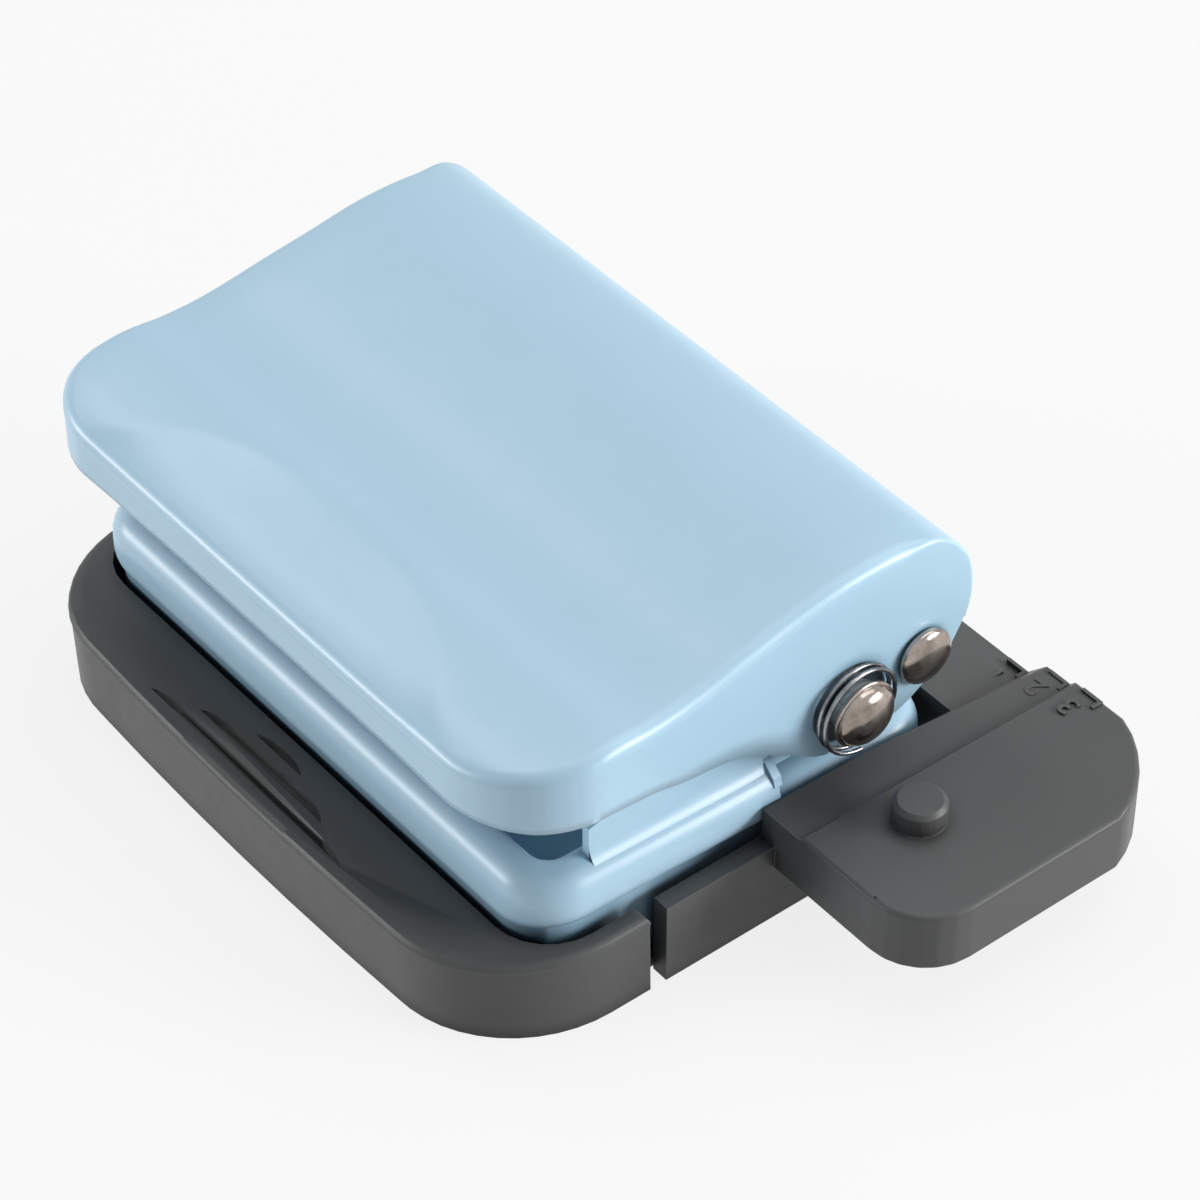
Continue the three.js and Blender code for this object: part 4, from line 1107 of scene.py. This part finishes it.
def is_rim_edge(edge):
    """Whether an edge runs round the wing's top, apart from the side where the wing joins the wall."""
    if len(edge.link_faces) != 2 or not edge.is_convex:
        return False
    at_top = all(abs(v.co.z - WING_TOP) < LEVEL_MARGIN for v in edge.verts)
    level = any(f.normal.z > 0.9 for f in edge.link_faces)
    sides = [f for f in edge.link_faces if upright(f)]
    return at_top and level and bool(sides) and sides[0].normal.x > -0.5


def rounded(shape, edges, radius, segments):
    bmesh.ops.bevel(shape, geom=edges, offset=radius, offset_type="OFFSET", segments=segments, profile=0.5,
                    affect="EDGES", material=-1, clamp_overlap=False)


gauge.normal_update()
facet_edges = [e for e in gauge.edges if is_facet_edge(e)]
rounded(gauge, facet_edges, FACET_RADIUS, FACET_SEGMENTS)
gauge.normal_update()
rim_edges = [e for e in gauge.edges if is_rim_edge(e)]
rounded(gauge, rim_edges, WING_RIM, RIM_SEGMENTS)
print("gauge facet edges", len(facet_edges), "rim edges", len(rim_edges))
gauge_piece = keep_piece("paper_gauge_moulded", gauge, plastic, "paper_gauge", smooth_angle=35)
soften(gauge_piece, GAUGE_EDGE)

# %% [markdown]
# The gauge carries three plain numbers, one on each of its levels and raised a little from it, each beside a
# corner mark that shows where the sheet's corner comes to lie. Text starts as a curve, so it is turned into
# a mesh before it is laid in place. A corner mark is an angle drawn as one flat face and raised.

# %% Marks on the gauge
MARK_HEIGHT, MARK_RISE, MARK_EDGE = 3.6, 0.25, 0.04
MARK_LINE, MARK_LONG, MARK_SHORT = 0.45, 2.9, 1.5
MARK_ASIDE = Vector((1.9, 3.1, 0))
MARKS = {
    "one": ("1", Vector((37.3, 23.5, 10.86))),
    "two": ("2", Vector((43.0, 23.9, 13.04))),
    "three": ("3", Vector((48.1, 23.7, WING_TOP))),
}


def number_mark(name, text, place):
    curve = bpy.data.curves.new(name, "FONT")
    curve.body = text
    curve.size = MARK_HEIGHT
    curve.extrude = MARK_RISE - MARK_EDGE
    curve.bevel_depth = MARK_EDGE
    curve.align_x, curve.align_y = "CENTER", "CENTER"
    mesh = plain_mesh(new_object(name, curve))
    mesh.transform(Matrix.Translation(place) @ Matrix.Rotation(math.pi, 4, "Z"))
    keep_mesh(name, mesh, plastic, "paper_gauge", smooth_angle=40)


def corner_mark(name, corner):
    outline = [(0, 0), (-MARK_LONG, 0), (-MARK_LONG, -MARK_LINE), (-MARK_LINE, -MARK_LINE),
               (-MARK_LINE, -MARK_SHORT), (0, -MARK_SHORT)]
    shape = bmesh.new()
    face = shape.faces.new([shape.verts.new(corner + Vector((x, y, -MARK_RISE))) for x, y in outline])
    made = bmesh.ops.extrude_face_region(shape, geom=[face])["geom"]
    raised = [part for part in made if isinstance(part, bmesh.types.BMVert)]
    bmesh.ops.translate(shape, vec=(0, 0, 2 * MARK_RISE), verts=raised)
    bmesh.ops.recalc_face_normals(shape, faces=shape.faces)
    mark = keep_piece(name, shape, plastic, "paper_gauge")
    soften(mark, MARK_EDGE)


for name, (text, place) in MARKS.items():
    number_mark(f"gauge_number_{name}", text, place)
    corner_mark(f"gauge_corner_{name}", place + MARK_ASIDE)

# %% [markdown]
# ## Turned pieces
# Heads and caps are turned on a lathe. A profile of radii and heights is spun once round, and its first and
# last points merge on the axis. The dome of a head is a quarter of an ellipse over a short rim.

# %% Helpers for turned pieces
SPIN_STEPS, DOME_STEPS, EDGE_STEPS = 64, 14, 4


def turned(profile, place, axis):
    shape = bmesh.new()
    verts = [shape.verts.new((radius, 0, height)) for radius, height in profile]
    edges = [shape.edges.new(pair) for pair in zip(verts, verts[1:])]
    bmesh.ops.spin(
        shape, geom=verts + edges, cent=(0, 0, 0), axis=(0, 0, 1), dvec=(0, 0, 0), angle=2 * math.pi,
        steps=SPIN_STEPS, use_merge=True, use_duplicate=False,
    )
    bmesh.ops.remove_doubles(shape, verts=shape.verts, dist=ON_PLANE)
    turn = Vector((0, 0, 1)).rotation_difference(Vector(axis)).to_matrix().to_4x4()
    bmesh.ops.transform(shape, matrix=Matrix.Translation(place) @ turn, verts=shape.verts)
    bmesh.ops.recalc_face_normals(shape, faces=shape.faces)
    return shape


def dome(radius, start, height):
    angles = [math.pi / 2 * k / DOME_STEPS for k in range(DOME_STEPS)]
    return [(radius * math.cos(a), start + height * math.sin(a)) for a in angles] + [(0, start + height)]


def rounded_rim(radius, edge):
    """The lower edge of a head, from its flat foot to its side, as a small arc."""
    angles = [math.pi / 2 * k / EDGE_STEPS for k in range(EDGE_STEPS + 1)]
    return [(radius - edge + edge * math.sin(a), edge - edge * math.cos(a)) for a in angles]


# %% [markdown]
# ## Press rod caps and pivot pin
# Each end of the press rod is closed by a nickel cap with a high dome over a thin flange. The pivot pin's
# heads are smaller and flatter, struck like a rivet's.

# %% Caps and pivot
HANDS = {"left": -1, "right": 1}
FLANGE, FLANGE_EDGE, CHAMFER, DOME_INSET, DOME_START = 0.4, 0.15, 0.12, 0.35, 0.54
for hand, side in HANDS.items():
    low, high = real_box(f"press_cap_{hand}")
    start = low.x if side > 0 else high.x
    radius = (high.y - low.y) / 2
    length = high.x - low.x
    profile = [(0, 0), *rounded_rim(radius, FLANGE_EDGE), (radius, FLANGE),
               (radius - FLANGE_EDGE, FLANGE + CHAMFER),
               *dome(radius - DOME_INSET, DOME_START, length - DOME_START)]
    centre = ((low.y + high.y) / 2, (low.z + high.z) / 2)
    cap = turned(profile, (start, *centre), (side, 0, 0))
    keep_piece(f"press_cap_domed_{hand}", cap, nickel, f"press_cap_{hand}", smooth_angle=35)

pin_low, pin_high = real_box("pivot_pin")
PIN_RADIUS, HEAD_EDGE, HEAD_RIM, HEAD_DOME = 2.0, 0.12, 0.4, 1.1
pin_centre = ((pin_low.y + pin_high.y) / 2, (pin_low.z + pin_high.z) / 2)
head_radius = (pin_high.y - pin_low.y) / 2
head_start = pin_high.x - HEAD_RIM - HEAD_DOME
pin_shapes = [turned([(0, 0), (PIN_RADIUS, 0), (PIN_RADIUS, 2 * head_start), (0, 2 * head_start)],
                     (-head_start, *pin_centre), (1, 0, 0))]
for side in HANDS.values():
    profile = [(0, 0), *rounded_rim(head_radius, HEAD_EDGE), *dome(head_radius, HEAD_RIM, HEAD_DOME)]
    pin_shapes.append(turned(profile, (side * head_start, *pin_centre), (side, 0, 0)))
keep_piece("pivot_pin_riveted", merged(pin_shapes), nickel, "pivot_pin", smooth_angle=35)

# %% [markdown]
# ## Wound wire
# A coil is a circle carried along a helix. A curve with a round bevel does this evenly, and it is turned
# into a mesh at once, so that it rides as the other pieces do.

# %% Coils and springs
COIL_STEPS, SPRING_STEPS, WIRE_ANGLE = 72, 96, 60


def wound(name, points, wire, node):
    curve = bpy.data.curves.new(name, "CURVE")
    curve.dimensions = "3D"
    curve.bevel_depth = wire / 2
    curve.bevel_resolution = 3
    curve.use_fill_caps = True
    line = curve.splines.new("POLY")
    line.points.add(len(points) - 1)
    for target, point in zip(line.points, points):
        target.co = (*point, 1)
    return keep_mesh(name, plain_mesh(new_object(name, curve)), spring_steel, node, WIRE_ANGLE)


COIL_WIRE, COIL_RADIUS, COIL_TURNS, COIL_PITCH = 0.5, 4.85, 1.75, 0.93
for hand, side in HANDS.items():
    low, high = real_box(f"press_cap_{hand}")
    centre_y, centre_z = (low.y + high.y) / 2, (low.z + high.z) / 2
    bush_low, bush_high = real_box(f"press_bushing_{hand}")
    start = (bush_low.x if side > 0 else bush_high.x) + side * COIL_WIRE / 2
    points = []
    for i in range(COIL_STEPS + 1):
        turn = COIL_TURNS * i / COIL_STEPS
        angle = -math.pi / 2 - 2 * math.pi * (COIL_TURNS - turn)
        points.append((start + side * COIL_PITCH * turn, centre_y + COIL_RADIUS * math.cos(angle),
                       centre_z + COIL_RADIUS * math.sin(angle)))
    wound(f"press_coil_wound_{hand}", points, COIL_WIRE, f"press_coil_{hand}")

SPRING_WIRE, SPRING_TURNS, PUNCH_TRAVEL = 0.6, 3.5, 2.9
for number in range(1, PUNCHES + 1):
    low, high = real_box(f"punch_spring_{number}")
    punch_low, punch_high = real_box(f"punch_{number}")
    centre_x = (punch_low.x + punch_high.x) / 2
    radius = (high.x - low.x - SPRING_WIRE) / 2
    foot, rise = low.z + SPRING_WIRE / 2, high.z - low.z - SPRING_WIRE
    points = []
    for i in range(SPRING_STEPS + 1):
        angle = 2 * math.pi * SPRING_TURNS * i / SPRING_STEPS
        points.append((centre_x + radius * math.cos(angle), radius * math.sin(angle),
                       foot + rise * i / SPRING_STEPS))
    spring = wound(f"punch_spring_wound_{number}", points, SPRING_WIRE, f"punch_spring_{number}")
    length = high.z - low.z
    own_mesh(spring)

# %% [markdown]
# ## Pieces that stay
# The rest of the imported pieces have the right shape: rods, bushings, punches, clips, die plate, bracket and
# fasteners. They keep their meshes and get their finish.

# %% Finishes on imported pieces
replaced = {"handle_shell", "frame_shell", "chip_tray", "paper_gauge", "pivot_pin"}
for name, node in nodes.items():
    if name in replaced or name.startswith(("press_cap", "press_coil", "punch_spring")):
        continue
    finish = spring_steel if name.startswith("punch_clip") else steel
    for i in range(max(1, len(node.material_slots))):
        if len(node.material_slots) <= i:
            node.data.materials.append(finish)
        else:
            node.material_slots[i].material = finish

# %% [markdown]
# ## Last steps
# Colours are shown as they are written.

# %% Finish
bpy.context.scene.view_settings.view_transform = "Standard"
